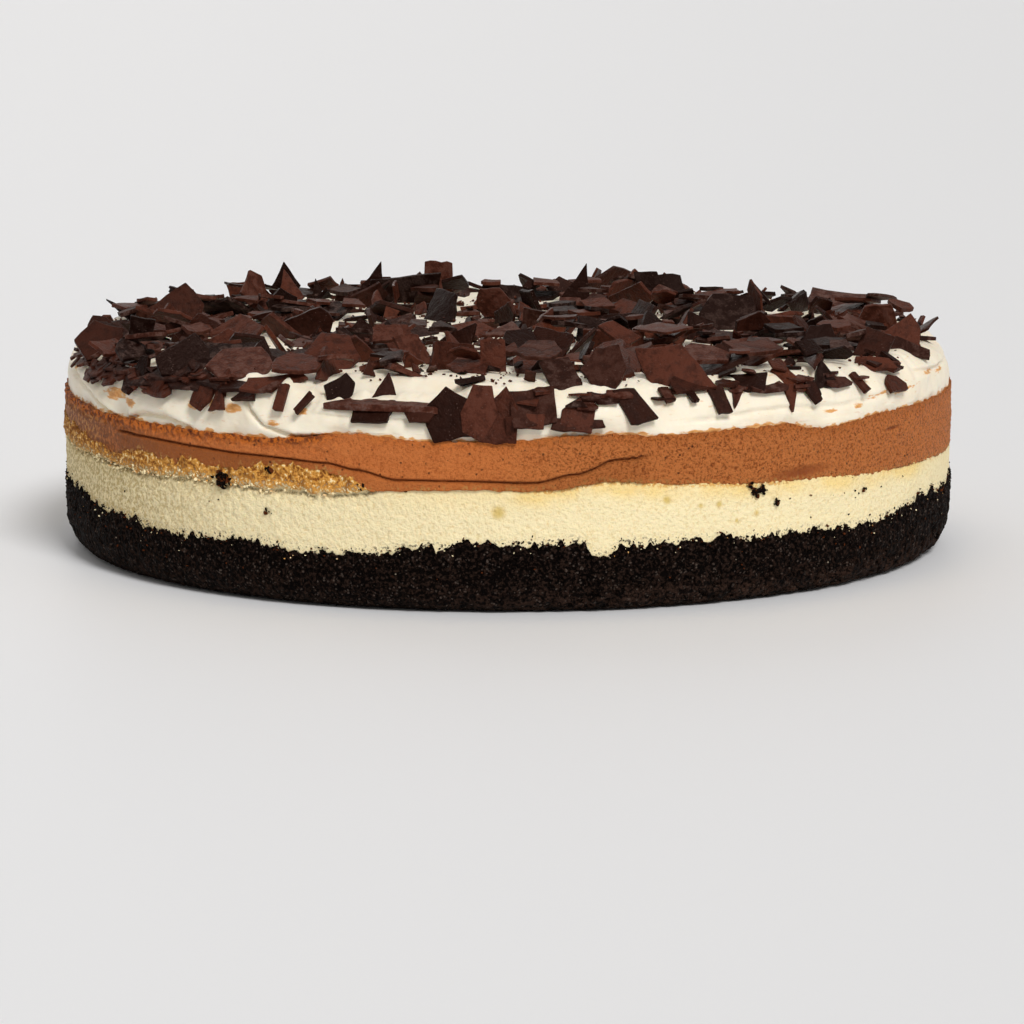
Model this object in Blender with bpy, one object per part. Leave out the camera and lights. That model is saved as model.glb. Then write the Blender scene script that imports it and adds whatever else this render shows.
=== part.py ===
# Round baked cheesecake, 254 mm across and 59 mm high below its shards: a dark
# cookie crust, a pale cheesecake with a toasted lip, chocolate mousse, and
# whipped cream under broken chocolate shards. The cake is uncut, so each layer
# is one solid that runs right through it.
#
# Origin: centre of the base. +Z is up, and the front of the cake faces -Y.
# Lengths are in millimetres and azimuths in degrees, from the front towards +X.
# Vertices are turned into metres as they are made.

import math
import random

import bmesh
import bpy
from mathutils import Matrix, Vector, noise

MM = 0.001

# Driving dimensions of the cake
CAKE_RADIUS = 127.0
BASE_RADIUS = 120.5          # flat part of the crust that the cake rests on
CORNER_HEIGHT = 11.0         # rounded lower corner of the crust
CHEESECAKE_RADIUS = 126.6
MOUSSE_RADIUS = 126.7
CREAM_RADIUS = 126.2
RIM_RADIUS = 117.0           # where the cream's top turns down into its shoulder
SHOULDER_FOOT = 48.0         # height at which the shoulder meets the cream's wall
CREAM_TOP = 59.0
LAYER_GAP = 0.3
WALL_STEPS = 96              # facets round each layer
INNER_RADIUS = 104.0         # the layers' boundaries are level inside this ring

# Height of each layer's upper edge at the wall, as (azimuth, height)
CRUST_EDGE = (
    (-76, 20.6), (-59, 17.7), (-45, 15.3), (-34, 16.5), (-22, 14.4), (-8, 17.2),
    (8, 18.8), (11, 14.6), (14, 18.0), (36, 17.3), (48, 16.5), (66, 19.6),
    (95, 20.0), (125, 17.0), (160, 18.8), (205, 16.5), (245, 19.4),
)
CHEESECAKE_EDGE = (
    (-74, 37.5), (-58, 34.0), (-49, 36.0), (-38, 35.2), (-28, 36.7), (-20, 36.3),
    (-15, 32.0), (-4, 32.7), (4, 32.4), (12, 34.5), (20, 33.0), (35, 31.4),
    (54, 29.9), (76, 29.2), (110, 31.0), (150, 34.0), (200, 32.0), (240, 35.5),
)
MOUSSE_EDGE = (
    (-74, 44.5), (-58, 43.8), (-30, 43.7), (-18, 46.2), (-10, 44.9), (2, 45.3),
    (9, 46.6), (20, 45.9), (35, 46.4), (41, 44.1), (53, 45.6), (76, 45.7),
    (120, 44.6), (170, 46.0), (215, 44.4), (250, 45.4),
)
LAP_CREASE = (
    (-53, 40.0), (-42, 39.4), (-31, 38.8), (-22, 38.2), (-18, 36.7), (-13, 34.5),
    (3, 34.3), (8, 36.3), (13, 40.0), (18, 40.5), (60, 36.0), (120, 37.0),
    (180, 39.0), (240, 38.0), (290, 40.0),
)

# Relief on the walls
CRUST_RELIEF = 0.45
TOASTED_LIP = {
    "azimuth": -45,
    "half_width": 33,
    "crease": 0.70,          # shares of the layer's height
    "crest": 0.88,
    "bulge": 0.35,
}
LAP_BULGE = 0.28
CREAM_WAVE = 0.6

# Outlines of the shards: width runs from -0.5 to 0.5, height from the foot up to 1
OUTLINES = {
    "pentagon": ((-0.42, 0), (0.40, 0), (0.50, 0.62), (0.22, 1), (-0.50, 0.52)),
    "trapezoid": ((-0.28, 0), (0.50, 0), (0.10, 1), (-0.50, 0.95)),
    "triangle": ((-0.50, 0), (0.50, 0), (0.12, 1)),
    "spike": ((-0.50, 0), (0.50, 0), (0.42, 1), (-0.10, 0.55)),
    "diamond": ((-0.10, 0), (0.50, 0.45), (-0.05, 1), (-0.50, 0.35)),
    "slab": ((-0.50, 0.05), (0.45, 0), (0.50, 0.90), (-0.42, 1)),
    "splinter": ((-0.50, 0.30), (-0.20, 0), (0.50, 0.25), (0.40, 0.80), (-0.35, 1)),
    "hexagon": ((-0.50, 0.45), (-0.30, 0.05), (0.25, 0), (0.50, 0.50), (0.28, 1), (-0.25, 0.95)),
    "leaf": ((-0.50, 0), (0.35, 0), (0.50, 0.35), (0.25, 0.80), (-0.10, 1), (-0.42, 0.60)),
    "kite": ((-0.30, 0), (0.35, 0.05), (0.50, 0.70), (-0.10, 1), (-0.50, 0.55)),
}

# The shards that stand out, each laid by hand: outline, x and y of the foot,
# width, height, lean (0 lies flat, 90 stands up, more leans to the front),
# turn about Z, and roll in the shard's own plane
STANDING_SHARDS = (
    ("pentagon", -96, 4, 16, 14, 60, 0, 0),
    ("spike", -108, 24, 4, 13, 50, 0, 62),
    ("slab", -102, 10, 12, 6, 115, 0, 0),
    ("kite", -112, -46, 13, 11, 50, 0, 10),
    ("pentagon", -86, -84, 14, 11, 52, 10, 0),
    ("hexagon", -71, -97, 18, 14, 24, 0, 0),
    ("slab", -76, -84, 17, 11, 30, 0, 0),
    ("splinter", -61, -106, 20, 4, 40, 0, 14),
    ("hexagon", -99, -75, 6, 6, 70, -50, 0),
    ("triangle", -76, -98, 6, 6, 60, -38, 0),
    ("kite", -81, -93, 7, 5, 50, -40, 0),
    ("slab", -59, -109, 2.5, 6.5, 60, -25, 0),
    ("splinter", -36, -119, 33, 6, 12, 0, -1),
    ("kite", -13, -125.5, 13, 12, 72, 0, 0),
    ("pentagon", -2, -126, 11, 12, 73, 0, 0),
    ("slab", 7, -122, 12, 10, 42, 0, 0),
    ("pentagon", 18, -122, 8, 9, 52, 0, -10),
    ("diamond", 33, -119, 10, 9, 52, 15, 0),
    ("hexagon", 25, -117, 12, 11, 52, 0, 0),
    ("slab", 15, -118, 9, 10, 40, 0, 20),
    ("trapezoid", 44, -112, 20, 12, 52, 0, 0),
    ("slab", 62, -106, 12, 5, 35, 0, 5),
    ("trapezoid", 75, -98, 8, 6, 45, 30, 0),
    ("triangle", 84, -91, 10, 7, 60, 35, 0),
    ("kite", 81, -95, 4, 5, 55, 38, 0),
    ("splinter", 99, -71, 12, 4, 40, 20, -3),
    ("splinter", 110, -47, 14, 3.5, 50, 0, -22),
    ("pentagon", 110, -36, 10, 9, 60, 0, 0),
    ("hexagon", 105, -9, 13, 9, 108, 0, 0),
    ("triangle", 95, -10, 13, 8, 52, 0, 0),
    ("slab", 99, -60, 9, 9, 45, 0, -15),
    ("hexagon", 85, -57, 11, 9, 50, 0, 0),
    ("slab", 76, -8, 14, 7, 112, 0, 0),
    ("hexagon", 63, 2, 19, 12, 50, 0, -8),
    ("trapezoid", 44, 61, 13, 11, 80, 0, 0),
    ("spike", 19, 68, 11, 12, 82, 0, 0),
    ("slab", -3, 81, 13, 5, 75, 0, -3),
    ("slab", -22, 76, 9, 13, 86, 0, 0),
    ("slab", -31, 71, 22, 9, 104, 0, 8),
    ("spike", -44, 71, 12, 12, 82, 0, 0),
    ("triangle", -51, 72, 6, 7, 78, 0, 0),
    ("triangle", -58, 71, 6, 7, 75, 0, 10),
    ("diamond", -69, 80, 10, 12, 84, 0, 0),
    ("spike", -67, 73, 9, 9, 78, 0, 30),
    ("slab", -4, -95, 7, 9, 78, 0, 4),
    ("hexagon", -10, -100, 12, 10, 24, 0, 0),
    ("kite", 6, -96, 10, 11, 26, 0, -8),
    ("slab", 29, -48, 19, 7, 112, 0, 0),
    ("slab", 10, 4, 14, 6, 98, 0, -6),
    ("hexagon", -48, -87, 16, 13, 38, 0, -8),
    ("pentagon", -57, -14, 15, 9, 98, 0, 0),
    ("triangle", -32, -114, 7, 6, 60, 0, 0),
    ("pentagon", -44, -112, 8, 7, 52, 0, 0),
)
SHARD_THICKNESS = 1.4
SHARD_SINK = 1.8             # how far a shard reaches on below its foot, into the cream

# The scattered shards, on a sunflower spiral so that they cover the top evenly
SCATTER = {
    "seed": 41,
    "count": 175,
    "radius": 114.0,
    "jitter": 3.0,
    "width": (9.0, 21.0, 12.0),  # least, most and commonest
    "slimness": (0.45, 0.85),    # height as a share of the width
    "flat_share": 0.62,
    "flat_lean": (10.0, 30.0),
    "steep_lean": (40.0, 80.0),
    "reach": 7.5,                # most that one stands above the cream
    "clear_of_standing": 7.5,
}
GOLDEN_ANGLE = math.pi * (3 - math.sqrt(5))


def clear_scene():
    for item in list(bpy.data.objects):
        bpy.data.objects.remove(item, do_unlink=True)


def make_material(name, color, roughness):
    material = bpy.data.materials.new(name)
    material.use_nodes = True
    shader = material.node_tree.nodes["Principled BSDF"]
    shader.inputs["Base Color"].default_value = (*color, 1.0)
    shader.inputs["Roughness"].default_value = roughness
    shader.inputs["Metallic"].default_value = 0.0
    material.diffuse_color = (*color, 1.0)
    return material


def smooth(share):
    share = min(max(share, 0.0), 1.0)
    return share * share * (3 - 2 * share)


def edge_height(edge, azimuth):
    """Height of a wavy edge, eased between its knots all the way round."""
    knots = [(degrees % 360, height) for degrees, height in edge]
    knots.sort()
    azimuth %= 360
    before = (knots[-1][0] - 360, knots[-1][1])
    for knot in knots + [(knots[0][0] + 360, knots[0][1])]:
        if azimuth <= knot[0]:
            share = smooth((azimuth - before[0]) / (knot[0] - before[0]))
            return before[1] + (knot[1] - before[1]) * share
        before = knot
    return before[1]


def mean_height(edge):
    return sum(height for _, height in edge) / len(edge)


def azimuth_of(point):
    return math.degrees(math.atan2(point.x, -point.y))


def interface(edge, point):
    """A layer's boundary: wavy at the wall, level in the middle of the cake."""
    radius = math.hypot(point.x, point.y)
    level = mean_height(edge)
    waviness = smooth((radius - INNER_RADIUS) / (CREAM_RADIUS - 1 - INNER_RADIUS))
    return level + (edge_height(edge, azimuth_of(point)) - level) * waviness


def base_plane(point):
    return 0.0


def crust_top(point):
    return interface(CRUST_EDGE, point)


def cheesecake_top(point):
    return interface(CHEESECAKE_EDGE, point)


def mousse_top(point):
    return interface(MOUSSE_EDGE, point)


def cream_level(point):
    """The spread cream's uneven top, before its shoulder is rounded."""
    return CREAM_TOP + CREAM_WAVE * noise.noise(Vector((point.x / 34, point.y / 34, 1.7)))


def cream_surface(x, y):
    """Height of the cream's top and shoulder, where the shards are laid."""
    radius = math.hypot(x, y)
    level = cream_level(Vector((x, y, 0)))
    if radius <= RIM_RADIUS:
        return level
    outward = min((radius - RIM_RADIUS) / (CREAM_RADIUS - RIM_RADIUS), 1.0)
    return SHOULDER_FOOT + (level - SHOULDER_FOOT) * math.sqrt(1 - outward * outward)


def half_gap(boundary):
    """Two layers that touch keep half of the gap each."""
    return 0.0 if boundary in (base_plane, cream_level) else LAYER_GAP / 2


def turn_profile(name, profile, floor, ceiling, relief, material):
    """A layer: a profile of (radius, share of the height) spun about Z.

    The share runs from 0 on the layer's floor to 1 on its ceiling, so the
    wavy boundaries carry the wall's rings with them.
    """
    mesh_data = bmesh.new()
    outline = [mesh_data.verts.new((radius, 0, share)) for radius, share in profile]
    edges = [mesh_data.edges.new(pair) for pair in zip(outline, outline[1:])]
    bmesh.ops.spin(
        mesh_data, geom=outline + edges, cent=(0, 0, 0), axis=(0, 0, 1),
        angle=math.tau, steps=WALL_STEPS, use_merge=True,
    )
    bmesh.ops.remove_doubles(mesh_data, verts=mesh_data.verts, dist=0.001)
    for vert in mesh_data.verts:
        share = vert.co.z
        outward = relief(vert.co, share)
        radius = math.hypot(vert.co.x, vert.co.y)
        if radius > 0:
            vert.co.x *= 1 + outward / radius
            vert.co.y *= 1 + outward / radius
        low = floor(vert.co) + half_gap(floor)
        high = ceiling(vert.co) - half_gap(ceiling)
        vert.co.z = low + (high - low) * share
        vert.co *= MM
    bmesh.ops.recalc_face_normals(mesh_data, faces=mesh_data.faces)
    # The two sides of a boundary are split alike, so that they stay apart
    bmesh.ops.triangulate(mesh_data, faces=mesh_data.faces, quad_method="SHORT_EDGE")
    mesh = bpy.data.meshes.new(name)
    mesh_data.to_mesh(mesh)
    mesh_data.free()
    layer = bpy.data.objects.new(name, mesh)
    bpy.context.scene.collection.objects.link(layer)
    mesh.materials.append(material)
    mesh.shade_smooth()
    mesh.set_sharp_from_angle(angle=math.radians(40))
    return layer


def layer_profile(radius, shares):
    """A plain layer's outline: level inside, with a ring at each share of its wall."""
    wall = [(radius, share) for share in shares]
    return [(0, 0), (INNER_RADIUS, 0)] + wall + [(INNER_RADIUS, 1), (0, 1)]


def make_crust():
    def crumbly(point, share):
        radius = math.hypot(point.x, point.y)
        if radius < BASE_RADIUS + 1 or share == 1:
            return 0.0
        spot = Vector((point.x / 9, point.y / 9, share * 3))
        return CRUST_RELIEF * (noise.noise(spot) - 0.5)

    corner = []
    mean_crust = mean_height(CRUST_EDGE)
    for angle in (25, 50, 70, 90):
        out = BASE_RADIUS + (CAKE_RADIUS - BASE_RADIUS) * math.sin(math.radians(angle))
        up = CORNER_HEIGHT * (1 - math.cos(math.radians(angle)))
        corner.append((out, up / mean_crust))
    profile = [(0, 0), (BASE_RADIUS, 0)] + corner
    profile += [(CAKE_RADIUS, 0.82), (CAKE_RADIUS, 1), (INNER_RADIUS, 1), (0, 1)]
    material = make_material("cookie_crust", (0.012, 0.007, 0.005), 0.85)
    return turn_profile("cookie_crust", profile, base_plane, crust_top, crumbly, material)


def make_cheesecake():
    def toasted_lip(point, share):
        offset = abs(azimuth_of(point) - TOASTED_LIP["azimuth"]) / TOASTED_LIP["half_width"]
        bulge = TOASTED_LIP["bulge"] * smooth(2 - 2 * offset)
        if math.isclose(share, TOASTED_LIP["crest"], abs_tol=0.01):
            return bulge
        if math.isclose(share, TOASTED_LIP["crease"], abs_tol=0.01):
            return -bulge / 2
        return 0.0

    shares = (0, 0.35, TOASTED_LIP["crease"], TOASTED_LIP["crest"], 1)
    profile = layer_profile(CHEESECAKE_RADIUS, shares)
    material = make_material("cheesecake", (0.85, 0.72, 0.42), 0.6)
    return turn_profile(
        "cheesecake_layer", profile, crust_top, cheesecake_top, toasted_lip, material
    )


def make_mousse():
    def lap(point, share):
        floor = cheesecake_top(point)
        crease_height = edge_height(LAP_CREASE, azimuth_of(point))
        crease = (crease_height - floor) / (mousse_top(point) - floor)
        return LAP_BULGE if 0 < share < crease else 0.0

    profile = layer_profile(MOUSSE_RADIUS, (0, 0.2, 0.42, 0.7, 1))
    material = make_material("chocolate_mousse", (0.42, 0.13, 0.04), 0.65)
    return turn_profile("chocolate_mousse", profile, cheesecake_top, mousse_top, lap, material)


def make_cream():
    def swirls(point, share):
        radius = math.hypot(point.x, point.y)
        if radius < RIM_RADIUS or share < 0.05:
            return 0.0
        spot = Vector((point.x / 22, point.y / 22, share * 1.5))
        return CREAM_WAVE * (noise.noise(spot) - 0.35)

    mean_mousse = mean_height(MOUSSE_EDGE)
    wall_top = (SHOULDER_FOOT - mean_mousse) / (CREAM_TOP - mean_mousse)
    profile = [(0, 0), (INNER_RADIUS, 0), (CREAM_RADIUS, 0)]
    for angle in (0, 22, 45, 68):
        out = RIM_RADIUS + (CREAM_RADIUS - RIM_RADIUS) * math.cos(math.radians(angle))
        up = wall_top + (1 - wall_top) * math.sin(math.radians(angle))
        profile.append((out, up))
    profile += [(radius, 1) for radius in (RIM_RADIUS, 96, 64, 32, 0)]
    material = make_material("whipped_cream", (0.93, 0.87, 0.76), 0.5)
    return turn_profile(
        "whipped_cream_with_shards", profile, mousse_top, cream_level, swirls, material
    )


def make_shard(outline, x, y, width, height, lean, turn, roll, material, collection):
    """One broken plate of chocolate, its foot sunk in the cream below its height."""
    length = height + SHARD_SINK
    points = [
        (u * width * MM, (v * length - SHARD_SINK) * MM) for u, v in OUTLINES[outline]
    ]
    mesh_data = bmesh.new()
    half = SHARD_THICKNESS * MM / 2
    face = mesh_data.faces.new([mesh_data.verts.new((u, v, -half)) for u, v in points])
    plate = bmesh.ops.extrude_face_region(mesh_data, geom=[face])
    top = [item for item in plate["geom"] if isinstance(item, bmesh.types.BMVert)]
    bmesh.ops.translate(mesh_data, verts=top, vec=(0, 0, 2 * half))
    bmesh.ops.recalc_face_normals(mesh_data, faces=mesh_data.faces)
    placing = (
        Matrix.Translation(Vector((x, y, cream_surface(x, y))) * MM)
        @ Matrix.Rotation(math.radians(turn), 4, "Z")
        @ Matrix.Rotation(math.radians(lean), 4, "X")
        @ Matrix.Rotation(math.radians(roll), 4, "Z")
    )
    bmesh.ops.transform(mesh_data, matrix=placing, verts=mesh_data.verts)
    mesh = bpy.data.meshes.new("shard")
    mesh_data.to_mesh(mesh)
    mesh_data.free()
    mesh.materials.append(material)
    shard = bpy.data.objects.new("shard", mesh)
    collection.objects.link(shard)
    return shard


def scattered_shards():
    """Seeded places, sizes and leans of the shards between the standing ones."""
    draw = random.Random(SCATTER["seed"])
    outlines = [name for name, points in OUTLINES.items() if len(points) < 6]
    rows = []
    for index in range(SCATTER["count"]):
        radius = SCATTER["radius"] * math.sqrt((index + 0.5) / SCATTER["count"])
        angle = index * GOLDEN_ANGLE
        x = radius * math.cos(angle) + draw.uniform(-1, 1) * SCATTER["jitter"]
        y = radius * math.sin(angle) + draw.uniform(-1, 1) * SCATTER["jitter"]
        width = draw.triangular(*SCATTER["width"])
        is_flat = draw.random() < SCATTER["flat_share"]
        lean = draw.uniform(*SCATTER["flat_lean" if is_flat else "steep_lean"])
        tallest = SCATTER["reach"] / math.sin(math.radians(lean))
        height = min(width * draw.uniform(*SCATTER["slimness"]), tallest)
        turn = draw.uniform(-180, 180)
        roll = draw.uniform(-20, 20)
        outline = draw.choice(outlines)
        spacing = min(math.hypot(x - row[1], y - row[2]) for row in STANDING_SHARDS)
        if spacing > SCATTER["clear_of_standing"]:
            rows.append((outline, x, y, width, height, lean, turn, roll))
    return rows


def keep_largest_shell(layer):
    """Drops loose scraps and the shells of hollows that the union sealed."""
    mesh_data = bmesh.new()
    mesh_data.from_mesh(layer.data)
    waiting = set(mesh_data.verts)
    shells = []
    while waiting:
        shell = set()
        front = [waiting.pop()]
        while front:
            vert = front.pop()
            shell.add(vert)
            for edge in vert.link_edges:
                other = edge.other_vert(vert)
                if other in waiting:
                    waiting.remove(other)
                    front.append(other)
        shells.append(shell)
    shells.sort(key=len)
    for shell in shells[:-1]:
        bmesh.ops.delete(mesh_data, geom=list(shell), context="VERTS")
    mesh_data.to_mesh(layer.data)
    mesh_data.free()


def fuse_shards(cream):
    """Joins every shard to the cream with one union."""
    collection = bpy.data.collections.new("shards")
    bpy.context.scene.collection.children.link(collection)
    material = make_material("dark_chocolate", (0.045, 0.018, 0.012), 0.4)
    for row in STANDING_SHARDS + tuple(scattered_shards()):
        make_shard(*row, material, collection)
    cream.data.materials.append(material)
    union = cream.modifiers.new("fuse_shards", "BOOLEAN")
    union.operation = "UNION"
    union.operand_type = "COLLECTION"
    union.collection = collection
    union.solver = "EXACT"
    bpy.context.view_layer.objects.active = cream
    bpy.ops.object.modifier_apply(modifier=union.name)
    for shard in list(collection.objects):
        bpy.data.objects.remove(shard, do_unlink=True)
    bpy.data.collections.remove(collection)
    keep_largest_shell(cream)


clear_scene()
make_crust()
make_cheesecake()
make_mousse()
fuse_shards(make_cream())
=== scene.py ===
import random
from math import asin, atan2, cos, degrees, exp, hypot, inf, pi, radians, sin, sqrt, tau

import bpy
from mathutils import Matrix, Vector
from mathutils.noise import noise


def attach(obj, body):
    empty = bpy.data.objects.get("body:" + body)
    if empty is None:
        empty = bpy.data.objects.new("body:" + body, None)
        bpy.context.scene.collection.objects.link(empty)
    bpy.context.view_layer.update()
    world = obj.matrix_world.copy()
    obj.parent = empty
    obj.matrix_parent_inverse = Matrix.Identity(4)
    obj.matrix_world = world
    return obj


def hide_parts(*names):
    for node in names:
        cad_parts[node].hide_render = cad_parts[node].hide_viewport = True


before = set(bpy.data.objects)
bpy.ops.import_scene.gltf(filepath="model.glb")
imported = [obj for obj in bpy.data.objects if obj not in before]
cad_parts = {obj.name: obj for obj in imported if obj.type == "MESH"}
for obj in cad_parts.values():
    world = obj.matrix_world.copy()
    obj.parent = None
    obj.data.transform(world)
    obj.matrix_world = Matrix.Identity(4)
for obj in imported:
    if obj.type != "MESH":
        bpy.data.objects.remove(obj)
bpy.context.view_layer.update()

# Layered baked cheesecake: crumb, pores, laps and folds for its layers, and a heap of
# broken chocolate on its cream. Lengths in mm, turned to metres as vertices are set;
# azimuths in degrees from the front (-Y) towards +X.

mm = 0.001
mmPerDegree = 2.2     # along the cake's side
sideStart = 120       # beyond this radius a layer's edge shows at the side
overlap = 0.25        # how far each layer reaches down into the one below
noGround = -99.0      # height where nothing lies yet

# Sizes that the cake's solids have
cake = {
    "radius": 127.0,
    "baseRadius": 120.5,
    "cornerHeight": 11.0,
    "cheesecakeRadius": 126.6,
    "mousseRadius": 126.7,
    "creamRadius": 126.2,
    "rimRadius": 117.0,
    "shoulderFoot": 48.0,
    "creamTop": 59.0,
    "creamWave": 0.6,
    "innerRadius": 104.0,
    "columns": 1500,
}


# Upper edge of each layer at the side: (azimuth, height)
crustEdge = (
    (-76, 20.6), (-59, 17.7), (-45, 15.3), (-34, 16.5), (-22, 14.4), (-8, 17.2), (8, 18.8), (11, 14.6),
    (14, 18.0), (36, 17.3), (48, 16.5), (66, 19.6), (95, 20.0), (125, 17.0), (160, 18.8), (205, 16.5),
    (245, 19.4),
)
cheesecakeEdge = (
    (-74, 37.5), (-58, 34.0), (-49, 36.0), (-38, 35.2), (-28, 36.7), (-20, 36.3), (-15, 32.0),
    (-4, 32.7), (4, 32.4), (12, 34.5), (20, 33.0), (35, 31.4), (54, 29.9), (76, 29.2), (110, 31.0),
    (150, 34.0), (200, 32.0), (240, 35.5),
)
mousseEdge = (
    (-74, 44.5), (-58, 43.8), (-30, 43.7), (-18, 46.2), (-10, 44.9), (2, 45.3), (9, 46.6), (20, 45.9),
    (35, 46.4), (41, 44.1), (53, 45.6), (76, 45.7), (120, 44.6), (170, 46.0), (215, 44.4), (250, 45.4),
)
lapCrease = (
    (-53, 40.0), (-42, 39.4), (-31, 38.8), (-22, 38.2), (-18, 36.7), (-13, 34.5), (3, 34.3), (8, 36.3),
    (13, 40.0), (18, 40.5), (60, 36.0), (120, 37.0), (180, 39.0), (240, 38.0), (290, 40.0),
)


def deselectAll():
    if bpy.context.mode != "OBJECT":
        objectMode()
    bpy.ops.object.select_all(action="DESELECT")


def linkNew(name, data):
    made = bpy.data.objects.new(name, data)
    bpy.context.scene.collection.objects.link(made)
    return made


def editMode(kind):
    bpy.ops.object.mode_set(mode="EDIT")
    bpy.ops.mesh.select_mode(type=kind)


def objectMode():
    bpy.ops.object.mode_set(mode="OBJECT")


def ease(share):
    share = min(max(share, 0.0), 1.0)
    return share * share * (3 - 2 * share)


def between(value, low, high, soft):
    # 1 inside low..high, easing to 0 over soft on either side
    return ease((value - low + soft) / soft) * ease((high + soft - value) / soft)


def edgeHeight(knots, azimuth):
    # eased between its knots, all the way round
    rounded = sorted((where % 360, height) for where, height in knots)
    azimuth %= 360
    before = (rounded[-1][0] - 360, rounded[-1][1])
    for knot in rounded + [(rounded[0][0] + 360, rounded[0][1])]:
        if azimuth <= knot[0]:
            share = ease((azimuth - before[0]) / (knot[0] - before[0]))
            return before[1] + (knot[1] - before[1]) * share
        before = knot
    return before[1]


def meanHeight(knots):
    return sum(height for _, height in knots) / len(knots)


def azimuthOf(x, y):
    return degrees(atan2(x, -y))


def onSide(azimuth, radius=cake["radius"], height=0.0):
    angle = radians(azimuth)
    return Vector((radius * sin(angle), -radius * cos(angle), height))


# Camera and light

view = {
    "place": (0.0011, -1.136, 0.1925),
    "lookDown": 9.32,
    "lens": 139.8,
}


def placeCamera():
    camera = linkNew("camera", bpy.data.cameras.new("camera"))
    camera.location = view["place"]
    camera.rotation_euler = (radians(90 - view["lookDown"]), 0, 0)
    camera.data.lens = view["lens"]
    camera.data.sensor_width = 36
    camera.data.clip_start = 0.05
    camera.data.clip_end = 60
    bpy.context.scene.camera = camera
    print("camera placed")


light = {
    "world": (1.0, 0.965, 0.915),
    "worldStrength": 0.385,
    "aim": (0, 0, 0.03),
    "suns": {
        # from where, strength, softness in degrees, color
        "keyLight": ((0.5, -1.1, 1.25), 2.12, 20, (1.0, 0.98, 0.95)),
        "rearLight": ((-0.35, 1.0, 0.55), 0.45, 50, (1.0, 0.98, 0.96)),
    },
    "floor": (0.83, 0.845, 0.88),
    "floorRadius": 14,
    "floorLevel": -0.0004,
}


def addSun(name, where, strength, softness, color):
    lamp = bpy.data.lights.new(name, "SUN")
    lamp.color = color
    lamp.energy = strength
    lamp.angle = radians(softness)
    holder = linkNew(name, lamp)
    holder.location = where
    holder.rotation_euler = (Vector(light["aim"]) - Vector(where)).to_track_quat("-Z", "Y").to_euler()
    holder.visible_camera = False


def makeStudio():
    for name, sun in light["suns"].items():
        addSun(name, *sun)
    world = bpy.data.worlds.new("studio")
    world.use_nodes = True
    background = world.node_tree.nodes["Background"]
    background.inputs["Color"].default_value = (*light["world"], 1)
    background.inputs["Strength"].default_value = light["worldStrength"]
    bpy.context.scene.world = world
    bpy.context.scene.view_settings.view_transform = "Standard"
    deselectAll()
    bpy.ops.mesh.primitive_circle_add(
        vertices=96, radius=light["floorRadius"], fill_type="NGON", location=(0, 0, light["floorLevel"]),
    )
    floor = bpy.context.object
    floor.name = "floor"
    bpy.ops.object.transform_apply(location=True)
    finish = bpy.data.materials.new("paleFloor")
    finish.use_nodes = True
    shader = finish.node_tree.nodes["Principled BSDF"]
    shader.inputs["Base Color"].default_value = (*light["floor"], 1)
    shader.inputs["Roughness"].default_value = 0.55
    shader.inputs["Specular IOR Level"].default_value = 0.25
    floor.data.materials.append(finish)
    print("studio lit")


# Material helpers: each adds a node to the finish being made and returns its output

bench = {}     # the finish being made: its node tree and the place read in it


def newFinish(name):
    material = bpy.data.materials.new(name)
    material.use_nodes = True
    bench["tree"] = material.node_tree
    bench["place"] = addNode("TexCoord", {}).outputs["Object"]
    return material


def addNode(kind, inputs, **settings):
    made = bench["tree"].nodes.new("ShaderNode" + kind)
    for name, value in settings.items():
        setattr(made, name, value)
    for key, value in inputs.items():
        feed(made.inputs[key], value)
    return made


def feed(socket, value):
    if isinstance(value, bpy.types.NodeSocket):
        bench["tree"].links.new(value, socket)
    elif isinstance(value, tuple) and len(socket.default_value) == 4:
        socket.default_value = (*value, 1)
    else:
        socket.default_value = value


def grain(size, detail=4.0, rough=0.55, stretch=None):
    # noise with lumps of about size mm
    place = bench["place"]
    if stretch:
        place = addNode("Mapping", {"Vector": place, "Scale": stretch}).outputs["Vector"]
    inputs = {"Vector": place, "Scale": 1000 / size, "Detail": detail, "Roughness": rough}
    return addNode("TexNoise", inputs).outputs["Fac"]


def cells(size):
    # distance from the nearest of points spread about size mm apart
    return addNode("TexVoronoi", {"Vector": bench["place"], "Scale": 1000 / size}).outputs["Distance"]


def painted(name):
    return addNode("Attribute", {}, attribute_name=name).outputs["Fac"]


def window(value, low, high, to=(0.0, 1.0)):
    inputs = {"Value": value, "From Min": low, "From Max": high, "To Min": to[0], "To Max": to[1]}
    return addNode("MapRange", inputs, interpolation_type="SMOOTHSTEP").outputs["Result"]


def reckon(operation, first, second):
    return addNode("Math", {0: first, 1: second}, operation=operation).outputs[0]


def times(first, *others):
    for other in others:
        first = reckon("MULTIPLY", first, other)
    return first


def plus(first, second):
    return reckon("ADD", first, second)


def layered(colors, base, *coats):
    # base with coats of (share, color) over it; a color is a name in colors, or stands for itself
    color = colors[base]
    for share, over in coats:
        over = colors[over] if isinstance(over, str) else over
        color = addNode("Mix", {0: share, 6: color, 7: over}, data_type="RGBA").outputs[2]
    return color


def bump(height, strength, distance, under=None):
    inputs = {"Height": height, "Strength": strength, "Distance": distance * mm}
    if under is not None:
        inputs["Normal"] = under
    return addNode("Bump", inputs).outputs["Normal"]


def coat(material, color, roughness, normal, specular, subsurface=0.0, reach=0.002, tint=(1.0, 1.0, 1.0)):
    inputs = {
        "Base Color": color, "Roughness": roughness, "Normal": normal,
        "Specular IOR Level": specular, "Specular Tint": tint,
        "Subsurface Weight": subsurface, "Subsurface Radius": (1.0, 0.65, 0.4), "Subsurface Scale": reach,
    }
    shader = material.node_tree.nodes["Principled BSDF"]
    for name, value in inputs.items():
        feed(shader.inputs[name], value)
    return material


# Turned layers

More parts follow.
